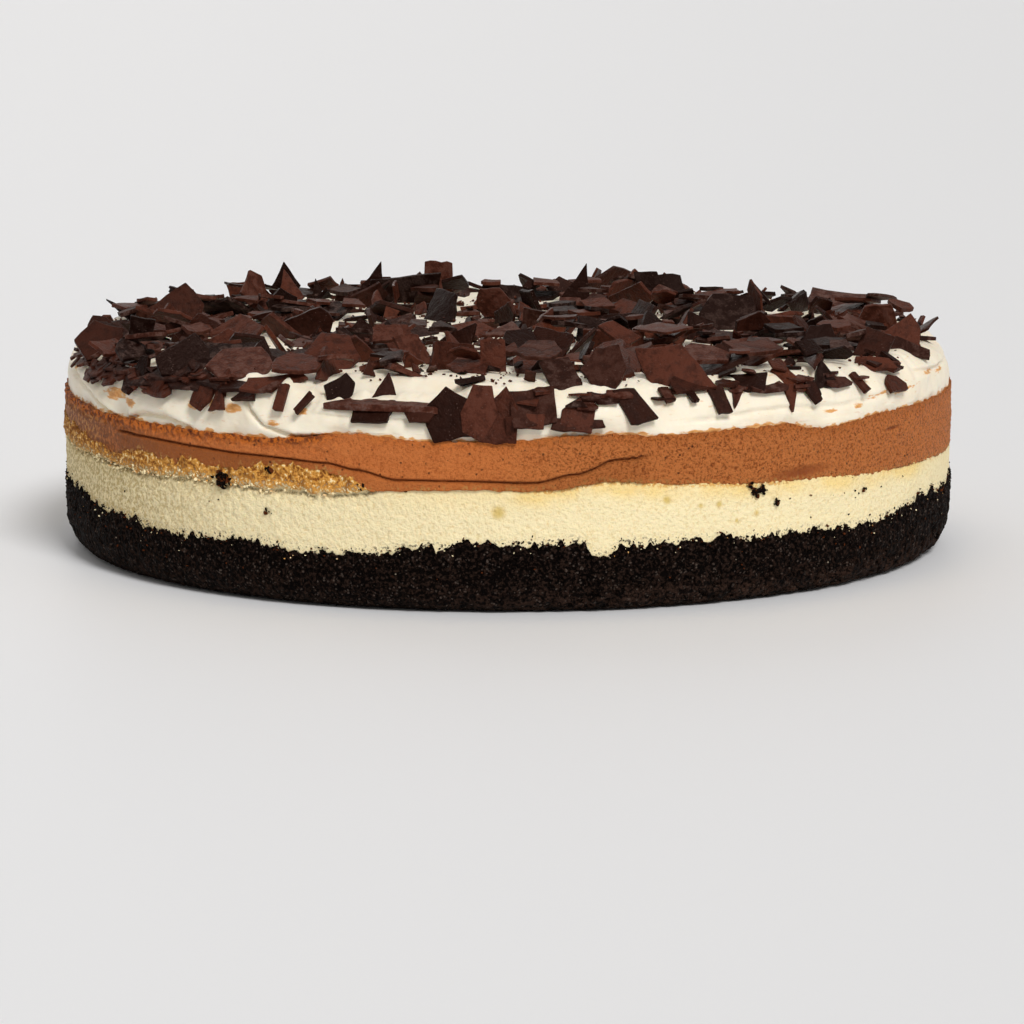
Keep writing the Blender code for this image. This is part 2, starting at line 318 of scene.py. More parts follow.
blankHeight = 10.0   # a layer is turned this high, then stretched between its edges


def turnLayer(name, outline):
    # rings of (radius, share of the height), extruded one from the other
    deselectAll()
    radius, share = outline[0]
    bpy.ops.mesh.primitive_circle_add(
        vertices=cake["columns"], radius=radius * mm, fill_type="TRIFAN",
        location=(0, 0, share * blankHeight * mm),
    )
    layer = bpy.context.object
    layer.name = name
    layer.data.name = name
    bpy.ops.object.transform_apply(location=True)
    editMode("EDGE")
    bpy.ops.mesh.select_all(action="DESELECT")
    bpy.ops.mesh.select_non_manifold()
    for nextRadius, nextShare in outline[1:]:
        rise = (nextShare - share) * blankHeight * mm
        bpy.ops.mesh.extrude_edges_move(TRANSFORM_OT_translate={"value": (0, 0, rise)})
        widen = nextRadius / radius
        bpy.ops.transform.resize(value=(widen, widen, 1), center_override=(0, 0, 0))
        radius, share = nextRadius, nextShare
    bpy.ops.mesh.edge_face_add()
    bpy.ops.mesh.poke()
    bpy.ops.mesh.select_all(action="SELECT")
    bpy.ops.mesh.normals_make_consistent(inside=False)
    objectMode()
    bpy.ops.object.shade_smooth()
    return layer


def shapeLayer(layer, floor, ceiling, relief, painters):
    # stretches the turned blank between its wavy edges; each painter fills the attribute of its name
    mesh = layer.data
    values = {painter.__name__: [] for painter in painters}
    for vert in mesh.vertices:
        x, y = vert.co.x / mm, vert.co.y / mm
        share = vert.co.z / (blankHeight * mm)
        radius = hypot(x, y)
        azimuth = azimuthOf(x, y)
        low = floor(azimuth, radius)
        high = ceiling(azimuth, radius)
        z = low + (high - low) * share
        outward = relief(azimuth, radius, z, share)
        if radius > 1:
            x *= 1 + outward / radius
            y *= 1 + outward / radius
        vert.co = Vector((x, y, z)) * mm
        for painter in painters:
            values[painter.__name__].append(painter(azimuth, radius, z, share))
    for name, numbers in values.items():
        mesh.attributes.new(name, "FLOAT", "POINT").data.foreach_set("value", numbers)
    mesh.update()


def roughen(layer, kind, size, strength, groupName):
    # a Displace modifier with a procedural texture, applied
    texture = bpy.data.textures.new(layer.name + kind, kind)
    texture.noise_scale = size * mm
    if kind == "CLOUDS":
        texture.noise_depth = 3
    modifier = layer.modifiers.new(kind, "DISPLACE")
    modifier.texture = texture
    modifier.strength = strength * mm
    modifier.mid_level = 0.5
    modifier.texture_coords = "LOCAL"
    modifier.vertex_group = groupName
    deselectAll()
    layer.select_set(True)
    bpy.context.view_layer.objects.active = layer
    bpy.ops.object.modifier_apply(modifier=modifier.name)


def groupWhere(layer, name, weight):
    # a vertex group whose weights come from place, in mm
    group = layer.vertex_groups.new(name=name)
    for vert in layer.data.vertices:
        x, y, z = vert.co / mm
        amount = weight(azimuthOf(x, y), hypot(x, y), z)
        if amount > 0.01:
            group.add([vert.index], amount, "REPLACE")
    return name


def groupSide(layer, name, weight):
    return groupWhere(layer, name, lambda azimuth, radius, z: weight(azimuth) * (radius > sideStart))


def dressLayer(layer, node, finish):
    layer.data.materials.append(finish)
    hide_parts(node)
    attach(layer, "root")
    layer.data.calc_loop_triangles()
    print(layer.name, "made,", len(layer.data.loop_triangles), "triangles")


def wavy(knots, azimuth, radius):
    level = meanHeight(knots)
    share = ease((radius - cake["innerRadius"]) / (cake["creamRadius"] - 1 - cake["innerRadius"]))
    return level + (edgeHeight(knots, azimuth) - level) * share


def jagged(azimuth, size, seed):
    # unevenness along an edge, with lumps about size mm long
    return noise(onSide(azimuth) / size + Vector((0, 0, seed)))


def crustBoundary(azimuth, radius):
    edge = wavy(crustEdge, azimuth, radius)
    if radius < sideStart:
        return edge
    spikes = max(jagged(azimuth, 1.9, 9.1), 0) * 2.4 + max(jagged(azimuth, 6.5, 4.1) - 0.15, 0) * 4
    return edge + 1.0 * jagged(azimuth, 4.5, 3.3) + 0.9 * jagged(azimuth, 0.95, 5.2) + spikes - 0.7


def cheesecakeBoundary(azimuth, radius):
    edge = wavy(cheesecakeEdge, azimuth, radius)
    if radius < sideStart:
        return edge
    left = between(azimuth, -90, -18, 4)
    rag = jagged(azimuth, 3.1, 1.4) + 0.7 * jagged(azimuth, 1.0, 6.6)
    return edge + (0.3 + 0.9 * left) * rag + 1.6 * left * jagged(azimuth, 6.5, 2.9)


def mousseBoundary(azimuth, radius):
    edge = wavy(mousseEdge, azimuth, radius)
    if radius < sideStart:
        return edge
    return edge + 0.35 * jagged(azimuth, 5.0, 2.2) + 0.45 * jagged(azimuth, 1.1, 7.7)


def into(boundary):
    # the foot of a layer, let into the one below
    return lambda azimuth, radius: boundary(azimuth, radius) - overlap


def sideShares(rows):
    return [row / rows for row in range(rows + 1)]


def sideOutline(radius, rows):
    # an upright side between two caps that only reach inwards to the inner radius
    side = [(radius, share) for share in sideShares(rows)]
    return [(cake["innerRadius"], 0), *side, (cake["innerRadius"], 1)]


# Cookie crust

crust = {
    "sideRows": 26,
    "sideFrom": 118,         # radius beyond which its surface gets crumbs
    "lumps": 0.35,
    "crumbSize": 1.5,
    "crumbDepth": 0.8,
    "grainSize": 0.7,
    "grainDepth": 0.5,
    "black": (0.0022, 0.0011, 0.0008),
    "brown": (0.026, 0.0145, 0.0105),
    "footBrown": (0.050, 0.027, 0.019),
    "glint": (0.10, 0.075, 0.062),
    "sugar": (0.50, 0.42, 0.32),
}


def makeCrust():
    meanCrust = meanHeight(crustEdge)
    outline = [(cake["baseRadius"] - 6, 0), (cake["baseRadius"], 0)]
    for angle in range(10, 91, 8):
        turned = radians(angle)
        out = cake["baseRadius"] + (cake["radius"] - cake["baseRadius"]) * sin(turned)
        outline.append((out, cake["cornerHeight"] * (1 - cos(turned)) / meanCrust))
    lowest = outline[-1][1]
    for share in sideShares(crust["sideRows"])[1:]:
        outline.append((cake["radius"], lowest + (1 - lowest) * share))
    outline += [(cake["radius"] - 2.5, 1), (cake["innerRadius"], 1), (60, 1)]
    layer = turnLayer("cookieCrust", outline)

    def relief(azimuth, radius, z, share):
        if radius < cake["baseRadius"] + 0.5 or z < 0.05:
            return 0.0
        spot = onSide(azimuth, cake["radius"], z)
        slump = crust["lumps"] * (noise(spot / 9) - 0.6) + 0.3 * noise(spot / 3.5)
        low = between(azimuth, 12, 95, 15) * between(z, 1, 8, 2)
        cracks = abs(noise(Vector((spot.x / 6, spot.y / 6, z / 2.6))))
        return slump - 1.3 * low * max(0.2 - cracks, 0) / 0.2

    def foot(azimuth, radius, z, share):
        right = 0.3 + 0.7 * between(azimuth, 15, 90, 30)
        return right * (1 - ease((z - 1) / 9))

    shapeLayer(layer, lambda azimuth, radius: 0.0, crustBoundary, relief, [foot])
    side = groupWhere(
        layer, "side", lambda azimuth, radius, z: between(z, 0.6, 60, 0.6) * (radius > crust["sideFrom"])
    )
    roughen(layer, "VORONOI", crust["crumbSize"], crust["crumbDepth"], side)
    roughen(layer, "CLOUDS", crust["grainSize"], crust["grainDepth"], side)
    dressLayer(layer, "cookie_crust", crustFinish())


def crustFinish():
    material = newFinish("cookieCrumb")
    crumb = grain(0.95, 4, 0.6)
    clump = grain(3.5, 3)
    low = times(painted("foot"), window(clump, 0.36, 0.58), window(crumb, 0.38, 0.56))
    # painted glints: light spots on some crumb facets stand in for highlights
    paintedGlintSpots = times(window(cells(1.0), 0.42, 0.22), window(grain(1.7, 2), 0.5, 0.6), 0.7)
    sugar = times(window(cells(4.5), 0.06, 0.035), window(clump, 0.5, 0.6))
    color = layered(
        crust, "black",
        (window(crumb, 0.48, 0.62), "brown"),
        (low, "footBrown"),
        (paintedGlintSpots, "glint"),
        (sugar, "sugar"),
    )
    normal = bump(cells(1.0), 1.0, 0.6, bump(crumb, 1.0, 0.9))
    return coat(material, color, window(crumb, 0.35, 0.75, to=(0.5, 0.85)), normal, 0.03)


# Cheesecake

cheesecake = {
    "sideRows": 34,
    "poreSize": 1.0,
    "poreDepth": 0.3,
    "lipSize": 1.6,
    "lipDepth": 0.7,
    "pale": (0.99, 0.86, 0.545),
    "yellow": (0.99, 0.75, 0.33),
    "pore": (0.80, 0.62, 0.30),
    "grey": (0.56, 0.43, 0.20),
    "seam": (0.13, 0.085, 0.030),
    "golden": (0.74, 0.345, 0.065),
    "sand": (0.92, 0.62, 0.23),
    "brown": (0.24, 0.078, 0.013),
    "crumbs": (1.0, 0.84, 0.55),
    "oil": (0.62, 0.42, 0.06),
}
# Yellow spots in it: azimuth, height, radius in mm
yellowSpots = (
    (-1.1, 26.6, 2.0), (19, 28.8, 1.2), (23.3, 26.8, 0.8), (25.8, 26.8, 1.0), (31, 23.7, 0.8),
    (28.2, 22.1, 0.7), (90, 27, 1.4), (133, 25, 1.0), (178, 28, 1.5), (228, 26, 1.1),
)
# Lower border of the toasted lip on the left
toastBorder = (
    (-76, 31.6), (-62, 30.9), (-50, 29.9), (-40, 30.9), (-32, 30.2), (-20, 29.9), (-15, 31.8),
    (0, 33.5), (60, 31.0), (180, 33.5), (240, 31.5),
)


def lipStrength(azimuth):
    return between(azimuth, -95, -17, 3)


def lipBorder(azimuth):
    rag = 0.8 * jagged(azimuth, 4, 8.8) + 0.5 * jagged(azimuth, 1.5, 3.9)
    return edgeHeight(toastBorder, azimuth) + rag


def makeCheesecake():
    layer = turnLayer("cheesecakeLayer", sideOutline(cake["cheesecakeRadius"], cheesecake["sideRows"]))

    def relief(azimuth, radius, z, share):
        if radius < sideStart:
            return 0.0
        spot = onSide(azimuth, cake["radius"], z)
        border = lipBorder(azimuth)
        lip = lipStrength(azimuth)
        above = ease((z - border) / 0.9)
        crease = exp(-((z - border + 0.25) / 0.5) ** 2)
        granules = 0.5 * noise(spot / 1.4)
        pits = -0.9 * max(noise(spot / 1.9 + Vector((0, 0, 7))) - 0.15, 0)
        pits *= between(z - border, -3.2, 0, 1.2)
        return 0.25 * noise(spot / 7) + lip * (0.5 * above - 0.9 * crease + granules * above + pits)

    def toast(azimuth, radius, z, share):
        border = lipBorder(azimuth)
        top = edgeHeight(cheesecakeEdge, azimuth)
        lip = lipStrength(azimuth) * ease((z - border + 0.2) / 0.9) * (0.5 + 0.5 * ease((z - border) / 6))
        thin = between(azimuth, 4, 34, 4) + 0.5 * between(azimuth, 60, 200, 20)
        line = 0.4 * thin * ease((z - top + 1.8) / 1.4)
        return max(lip, line)

    def darkToast(azimuth, radius, z, share):
        return 0.3 + 0.7 * between(azimuth, -95, -54, 14)

    # greyer and darker on the left: partly its coarser crumb there, partly painted shade on the side
    # turned from the light
    def leftShade(azimuth, radius, z, share):
        return between(azimuth, -150, -58, 30)

    # painted shadow in the crease under the toasted lip
    def seam(azimuth, radius, z, share):
        under = exp(-((z - lipBorder(azimuth) + 0.45) / 0.65) ** 2)
        return lipStrength(azimuth) * under

    def rise(azimuth, radius, z, share):
        return z - edgeHeight(crustEdge, azimuth)

    def spotted(azimuth, radius, z, share):
        nearest = min(
            hypot((azimuth - where) * mmPerDegree, z - height) / wide
            for where, height, wide in yellowSpots
        )
        return 1 - ease(nearest - 0.3)

    def warmth(azimuth, radius, z, share):
        top = edgeHeight(cheesecakeEdge, azimuth)
        return between(azimuth, 2, 60, 6) * ease((z - top + 6) / 5) + 0.35 * ease((z - 24) / 8)

    painters = [toast, darkToast, leftShade, seam, rise, warmth, spotted]
    shapeLayer(layer, into(crustBoundary), cheesecakeBoundary, relief, painters)
    side = groupSide(layer, "side", lambda azimuth: 1.0)
    left = groupSide(layer, "left", lambda azimuth: between(azimuth, -180, -30, 30))
    roughen(layer, "CLOUDS", cheesecake["poreSize"], cheesecake["poreDepth"], side)
    roughen(layer, "CLOUDS", cheesecake["lipSize"], cheesecake["lipDepth"], left)
    dressLayer(layer, "cheesecake_layer", cheesecakeFinish())


def cheesecakeFinish():
    material = newFinish("bakedCheese")
    pores = grain(0.9, 3, 0.6)
    granules = grain(1.1, 3, 0.6)
    toast, seam = painted("toast"), painted("seam")
    warm = times(painted("warmth"), window(grain(11, 3), 0.3, 0.65, to=(0.3, 1.0)))
    # partly coarse crumb, partly painted shade on the left side
    coarseAndShaded = times(painted("leftShade"), window(pores, 0.6, 0.4, to=(0.12, 1.0)))
    golden = layered(
        cheesecake, "brown",
        (window(granules, 0.38, 0.5), "golden"),
        (window(granules, 0.54, 0.66), "sand"),
        (times(painted("darkToast"), window(granules, 0.6, 0.42, to=(0.1, 0.85))), "brown"),
        (window(grain(5, 2), 0.56, 0.66, to=(0, 0.6)), "brown"),
    )
    toasted = plus(toast, window(granules, 0.3, 0.7, to=(-0.3, 0.3)))
    # painted shadow: the crease under the lip is darkened
    shadow = times(seam, window(granules, 0.6, 0.42, to=(0.15, 1.0)), 0.8)
    loose = times(window(plus(seam, toast), 0.25, 0.6), window(granules, 0.6, 0.68), 0.75)
    speckled = times(window(painted("rise"), 2.6, -0.2), window(grain(0.9, 3), 0.54, 0.62))
    color = layered(
        cheesecake, "pale",
        (warm, "yellow"),
        # painted shade in the pores: darker where the pore noise is low
        (window(pores, 0.48, 0.34, to=(0, 0.5)), "pore"),
        (coarseAndShaded, "grey"),
        (times(painted("spotted"), 0.7), "oil"),
        (window(toasted, 0.15, 0.6), golden),
        (shadow, "seam"),
        (loose, "crumbs"),
        (speckled, crust["black"]),
    )
    normal = bump(granules, 0.8, 0.4, bump(pores, 1.0, 0.5))
    return coat(material, color, 0.65, normal, 0.12, subsurface=0.08)


# Chocolate mousse

mousse = {
    "sideRows": 40,
    "creaseWidth": 0.3,
    "creaseDepth": 0.9,
    "lapRise": 0.4,
    "pitSize": 0.8,
    "pitDepth": 0.8,
    "grainSize": 1.1,
    "grainDepth": 0.2,
    "light": (0.90, 0.300, 0.080),
    "milk": (0.585, 0.153, 0.032),
    "deep": (0.27, 0.062, 0.012),
    "lap": (0.35, 0.098, 0.018),
    "orange": (0.72, 0.185, 0.018),
    "rust": (0.20, 0.040, 0.007),
    "sand": (0.62, 0.34, 0.10),
    "pit": (0.055, 0.014, 0.005),
    "dull": (0.22, 0.075, 0.022),
}


def lapStrength(azimuth):
    back = 0.8 * between(azimuth, 95, 150, 10) + 0.8 * between(azimuth, -160, -120, 10)
    return between(azimuth, -55, 15, 2.5) + back


def creaseHeight(azimuth):
    return edgeHeight(lapCrease, azimuth) + 0.25 * jagged(azimuth, 9, 4.4)


def makeMousse():
    layer = turnLayer("chocolateMousse", sideOutline(cake["mousseRadius"], mousse["sideRows"]))

    def relief(azimuth, radius, z, share):
        if radius < sideStart:
            return 0.0
        spot = onSide(azimuth, cake["radius"], z)
        below = z - creaseHeight(azimuth)
        lap = lapStrength(azimuth)
        groove = -mousse["creaseDepth"] * exp(-(below / mousse["creaseWidth"]) ** 2)
        bank = mousse["lapRise"] * ease(-below / 0.5) if below < 0 else 0.1 * ease(below / 0.5)
        drag = 0.25 * noise(Vector((azimuth / 9, z / 3.2, 1.9)))
        left = between(azimuth, -100, -24, 6) * between(z, 41.5, 60, 1.5)
        return lap * (groove + bank) + drag + 0.15 * noise(spot / 6) + 0.6 * left * noise(spot / 1.3)

    def fringe(azimuth, radius, z, share):
        top = edgeHeight(mousseEdge, azimuth)
        left = between(azimuth, -110, -24, 6) + 0.3 * between(azimuth, -16, 120, 3)
        return left * ease((z - top + 3.0) / 2.4)

    def lapped(azimuth, radius, z, share):
        darker = 0.3 + 0.7 * between(azimuth, -60, -30, 12)
        return darker * lapStrength(azimuth) * ease((creaseHeight(azimuth) - z) / 0.4)

    # painted shade along the crease above the lap
    def seam(azimuth, radius, z, share):
        return lapStrength(azimuth) * exp(-((z - creaseHeight(azimuth) - 0.1) / 0.32) ** 2)

    def glossy(azimuth, radius, z, share):
        across = (azimuth - 37.5) * mmPerDegree / 12
        along = azimuth - 55
        notch = 1.6 - hypot(along * mmPerDegree / 3.5, (z - 41 - 0.12 * along) / 0.35)
        return max(1 - across * across - ((z - 33 - 0.12 * (azimuth - 37)) / 1.9) ** 2, notch, 0)

    def pitted(azimuth, radius, z, share):
        right = between(azimuth, 10, 150, 16)
        return (0.4 + 0.6 * right) * (1 - 0.8 * min(glossy(azimuth, radius, z, share), 1))

    def crumbed(azimuth, radius, z, share):
        foot = 1 - ease((z - cheesecakeBoundary(azimuth, cake["radius"]) - 0.3) / 1.3)
        return max(between(azimuth, -140, -66, 10), 0.8 * foot)

    # duller and darker at the left end: partly its duller, crumbly surface there, partly painted shade on
    # the side turned from the light
    def dull(azimuth, radius, z, share):
        return between(azimuth, -140, -62, 22)

    painters = [fringe, lapped, seam, glossy, pitted, crumbed, dull]
    shapeLayer(layer, into(cheesecakeBoundary), mousseBoundary, relief, painters)
    right = groupSide(layer, "right", lambda azimuth: between(azimuth, 14, 120, 12))
    side = groupSide(layer, "side", lambda azimuth: 1.0)
    roughen(layer, "CLOUDS", mousse["pitSize"], mousse["pitDepth"], right)
    roughen(layer, "CLOUDS", mousse["grainSize"], mousse["grainDepth"], side)
    dressLayer(layer, "chocolate_mousse", mousseFinish())


def mousseFinish():
    material = newFinish("milkMousse")
    cloud = grain(4, 4, 0.6)
    fine = grain(0.75, 4, 0.75)
    crumbly = grain(1.2, 3, 0.6)
    pitted = painted("pitted")
    rusty = layered(mousse, "rust", (window(crumbly, 0.42, 0.54), "orange"))
    holes = times(window(cells(1.9), 0.22, 0.1), window(grain(2.6, 2), 0.5, 0.6))
    color = layered(
        mousse, "milk",
        (window(cloud, 0.3, 0.7, to=(0.0, 0.35)), "light"),
        (times(pitted, window(fine, 0.45, 0.35, to=(0, 0.75))), "deep"),
        (times(pitted, window(fine, 0.42, 0.54)), "light"),
        (times(painted("lapped"), 0.8), "lap"),
        (times(painted("glossy"), 0.75), "rust"),
        (times(painted("dull"), window(crumbly, 0.62, 0.4, to=(0.2, 0.9))), "dull"),
        (times(painted("crumbed"), window(crumbly, 0.52, 0.62), 0.75), "sand"),
        (times(painted("fringe"), window(cloud, 0.3, 0.6, to=(0.6, 1.0))), rusty),
        # painted shade in the bubble holes
        (times(holes, 0.75), "pit"),
        # painted shade in the crease
        (times(painted("seam"), 0.85), "rust"),
    )
    normal = bump(times(fine, plus(pitted, 0.1)), 1.0, 2.2)
    normal = bump(reckon("SUBTRACT", 1.0, holes), 0.8, 0.5, normal)
    return coat(material, color, 0.55, normal, 0.2, subsurface=0.04, reach=0.0015)


# Whipped cream

cream = {
    "sideRows": 12,
    "shoulderRows": 26,
    "topRings": (115, 112.5, 110, 107, 104, 100, 95, 89, 82, 74, 65, 55, 44, 30, 15),
    "softFrom": 46.5,        # height above which it has dents
    "smearFrom": 112,        # radius beyond which mousse may be smeared on it
    "dents": ((5.0, 0.6), (1.8, 0.22)),
    "white": (0.97, 0.885, 0.73),
    "ivory": (0.88, 0.765, 0.58),
    "smear": (0.74, 0.33, 0.065),
    "cocoa": (0.42, 0.13, 0.022),
}
# Folds in its side: points (azimuth, height) along the crease, then depth and overhang
creamFolds = (
    (((-80, 51.5), (-74, 51.8), (-70, 50.6), (-66, 48.5), (-61, 45.6), (-56, 43.0)), 1.3, 1.5),
    (((-55, 43.4), (-51, 46.0), (-46, 46.2), (-41, 43.8)), 0.9, 1.2),
    (((-33.5, 55.0), (-32.5, 50.5), (-30.5, 46.8), (-26, 44.6), (-20, 45.0)), 1.2, 1.0),
    (((-26, 50.6), (-14, 50.2), (-4, 51.0)), 0.5, 0.5),
    (((20, 48.6), (34, 50.6), (44, 49.5), (56, 50.8)), 0.4, 0.6),
    (((62, 54.5), (72, 53.0), (82, 53.5)), 0.7, 0.8),
    (((100, 49.0), (112, 50.5), (122, 46.5)), 1.0, 1.0),
    (((160, 52.0), (172, 48.0), (186, 47.0)), 0.9, 0.9),
    (((-150, 47.0), (-138, 50.5), (-124, 48.5)), 1.0, 1.2),
)
# Smears of mousse on it: azimuth, height, half width and half height in mm
creamSmears = (
    (-58, 49.8, 7, 2.4), (-54, 48.0, 4, 1.8), (-41.5, 51.0, 2.6, 2.8), (-38.5, 51.0, 1.4, 1.8),
    (-35, 50.5, 4, 1.6), (-29, 47.5, 2.5, 1.0), (-25.5, 51.0, 2.4, 1.3), (-73, 53.0, 1.6, 2.2),
    (52, 50.5, 9, 0.5), (57, 52.0, 10, 0.45), (60, 50.6, 12, 0.5), (48, 48.6, 3, 1.0),
    (43, 48.4, 3, 0.8), (68, 53.0, 8, 0.6), (73, 52.0, 9, 0.5), (140, 50, 9, 1.8), (-130, 49, 8, 2),
    (175, 50, 6, 1.2),
)


def rimDip(azimuth, radius):
    # the cream's rim sags where a long shard lies on it
    return 3.4 * between(azimuth, -24, -8, 5) * ease((radius - 108) / 7)


def creamLevel(x, y):
    return cake["creamTop"] + cake["creamWave"] * noise(Vector((x / 34, y / 34, 1.7)))


def creamSurface(x, y):
    # height of the cream's top and shoulder, where shards lie
    radius = hypot(x, y)
    level = creamLevel(x, y) - rimDip(azimuthOf(x, y), radius)
    if radius <= cake["rimRadius"]:
        return level
    outward = min((radius - cake["rimRadius"]) / (cake["creamRadius"] - cake["rimRadius"]), 1.0)
    return cake["shoulderFoot"] + (level - cake["shoulderFoot"]) * sqrt(1 - outward * outward)


def foldOffset(azimuth, z):
    # a groove along each fold, with the cream above it standing proud
    total = 0.0
    for points, depth, overhang in creamFolds:
        if not points[0][0] - 6 < azimuth < points[-1][0] + 6:
            continue
        nearest, side, along = inf, 1.0, 0.0
        here = Vector((azimuth * mmPerDegree, z))
        for index in range(len(points) - 1):
            start = Vector((points[index][0] * mmPerDegree, points[index][1]))
            run = Vector((points[index + 1][0] * mmPerDegree, points[index + 1][1])) - start
            share = min(max((here - start).dot(run) / run.length_squared, 0), 1)
            gap = here - (start + run * share)
            if gap.length < nearest:
                nearest = gap.length
                side = 1.0 if run.x * gap.y - run.y * gap.x > 0 else -1.0
                along = (index + share) / (len(points) - 1)
        fade = ease(min(along, 1 - along) / 0.12)
        groove = -depth * exp(-(nearest / 0.6) ** 2)
        swell = exp(-(nearest / 3.2) ** 2) * (1 - exp(-(nearest / 0.6) ** 2))
        total += fade * (groove + overhang * swell * (1 if side > 0 else 0.35))
    return total


def makeCream():
    meanMousse = meanHeight(mousseEdge)
    sideTop = (cake["shoulderFoot"] - meanMousse) / (cake["creamTop"] - meanMousse)
    outline = [(cake["innerRadius"], 0)]
    outline += [(cake["creamRadius"], share * sideTop) for share in sideShares(cream["sideRows"])]
    for row in range(1, cream["shoulderRows"] + 1):
        turned = radians(90 * row / cream["shoulderRows"])
        out = cake["rimRadius"] + (cake["creamRadius"] - cake["rimRadius"]) * cos(turned)
        outline.append((out, sideTop + (1 - sideTop) * sin(turned)))
    outline += [(radius, 1) for radius in cream["topRings"]]
    layer = turnLayer("whippedCream", outline)

    def top(azimuth, radius):
        spot = onSide(azimuth, radius)
        ripple = 0.5 * noise(spot / 9) + 0.3 * noise(spot / 3.5)
        front = 0.3 + 0.7 * between(azimuth, -100, -20, 20)
        bumps = 0.8 * jagged(azimuth, 3.2, 6.1) + 0.5 * jagged(azimuth, 1.6, 2.6)
        lip = front * between(radius, 118, 124, 2.5) * bumps
        return creamLevel(spot.x, spot.y) + ripple * ease(radius / 20) + lip - rimDip(azimuth, radius)

    def relief(azimuth, radius, z, share):
        if share < 0.001 or radius < cake["rimRadius"]:
            return 0.0
        spot = onSide(azimuth, cake["radius"], z)
        spread = 0.8 * noise(Vector((azimuth / 7, z / 6, 4.1)))
        soft = 0.4 * noise(spot / 5)
        return spread + soft - 0.3 + foldOffset(azimuth, z)

    def smear(azimuth, radius, z, share):
        if radius < cream["smearFrom"]:
            return 0.0
        amount = 0.0
        for where, height, wide, high in creamSmears:
            across = (azimuth - where) * mmPerDegree / wide
            slope = 0.07 * (azimuth - where) * mmPerDegree if wide > 8 else 0.0
            amount = max(amount, 1 - across * across - ((z - height - slope) / high) ** 2)
        foot = edgeHeight(mousseEdge, azimuth) + 1.0 + 0.9 * jagged(azimuth, 2, 1.1)
        return max(amount, 0.8 * ease((foot - z) / 0.9), 0.0)

    shapeLayer(layer, into(mousseBoundary), top, relief, [smear])
    soft = groupWhere(layer, "soft", lambda azimuth, radius, z: 1.0 if z > cream["softFrom"] else 0)
    for size, depth in cream["dents"]:
        roughen(layer, "CLOUDS", size, depth, soft)
    dressLayer(layer, "whipped_cream_with_shards", creamFinish())


def creamFinish():
    material = newFinish("whippedCream")
    blot = grain(1.3, 4, 0.7, stretch=(0.3, 0.3, 1.3))
    smear = plus(painted("smear"), window(blot, 0.25, 0.75, to=(-0.7, 0.35)))
    color = layered(
        cream, "white",
        (window(grain(9, 3), 0.35, 0.75, to=(0, 0.6)), "ivory"),
        (window(smear, 0.12, 0.6, to=(0, 0.9)), "smear"),
        (window(smear, 0.65, 1.0, to=(0, 0.5)), "cocoa"),
    )
    combed = grain(1.0, 2, 0.5, stretch=(0.35, 0.35, 1.6))
    normal = bump(combed, 0.3, 0.25, bump(grain(0.9, 4, 0.6), 0.25, 0.2))
    return coat(material, color, 0.45, normal, 0.35, subsurface=0.2, reach=0.003)


# Chocolate shards

# Outlines: width runs from -0.5 to 0.5, height from the foot up to 1
shardOutlines = {
    "pentagon": ((-0.42, 0), (0.40, 0), (0.50, 0.62), (0.22, 1), (-0.50, 0.52)),
    "trapezoid": ((-0.28, 0), (0.50, 0), (0.10, 1), (-0.50, 0.95)),
    "triangle": ((-0.50, 0), (0.50, 0), (0.12, 1)),
    "spike": ((-0.50, 0), (0.50, 0), (0.42, 1), (-0.10, 0.55)),
    "diamond": ((-0.10, 0), (0.50, 0.45), (-0.05, 1), (-0.50, 0.35)),
    "slab": ((-0.50, 0.05), (0.45, 0), (0.50, 0.90), (-0.42, 1)),
    "splinter": ((-0.50, 0.30), (-0.20, 0), (0.50, 0.25), (0.40, 0.80), (-0.35, 1)),
    "hexagon": ((-0.50, 0.45), (-0.30, 0.05), (0.25, 0), (0.50, 0.50), (0.28, 1), (-0.25, 0.95)),
    "leaf": ((-0.50, 0), (0.35, 0), (0.50, 0.35), (0.25, 0.80), (-0.10, 1), (-0.42, 0.60)),
    "kite": ((-0.30, 0), (0.35, 0.05), (0.50, 0.70), (-0.10, 1), (-0.50, 0.55)),
}

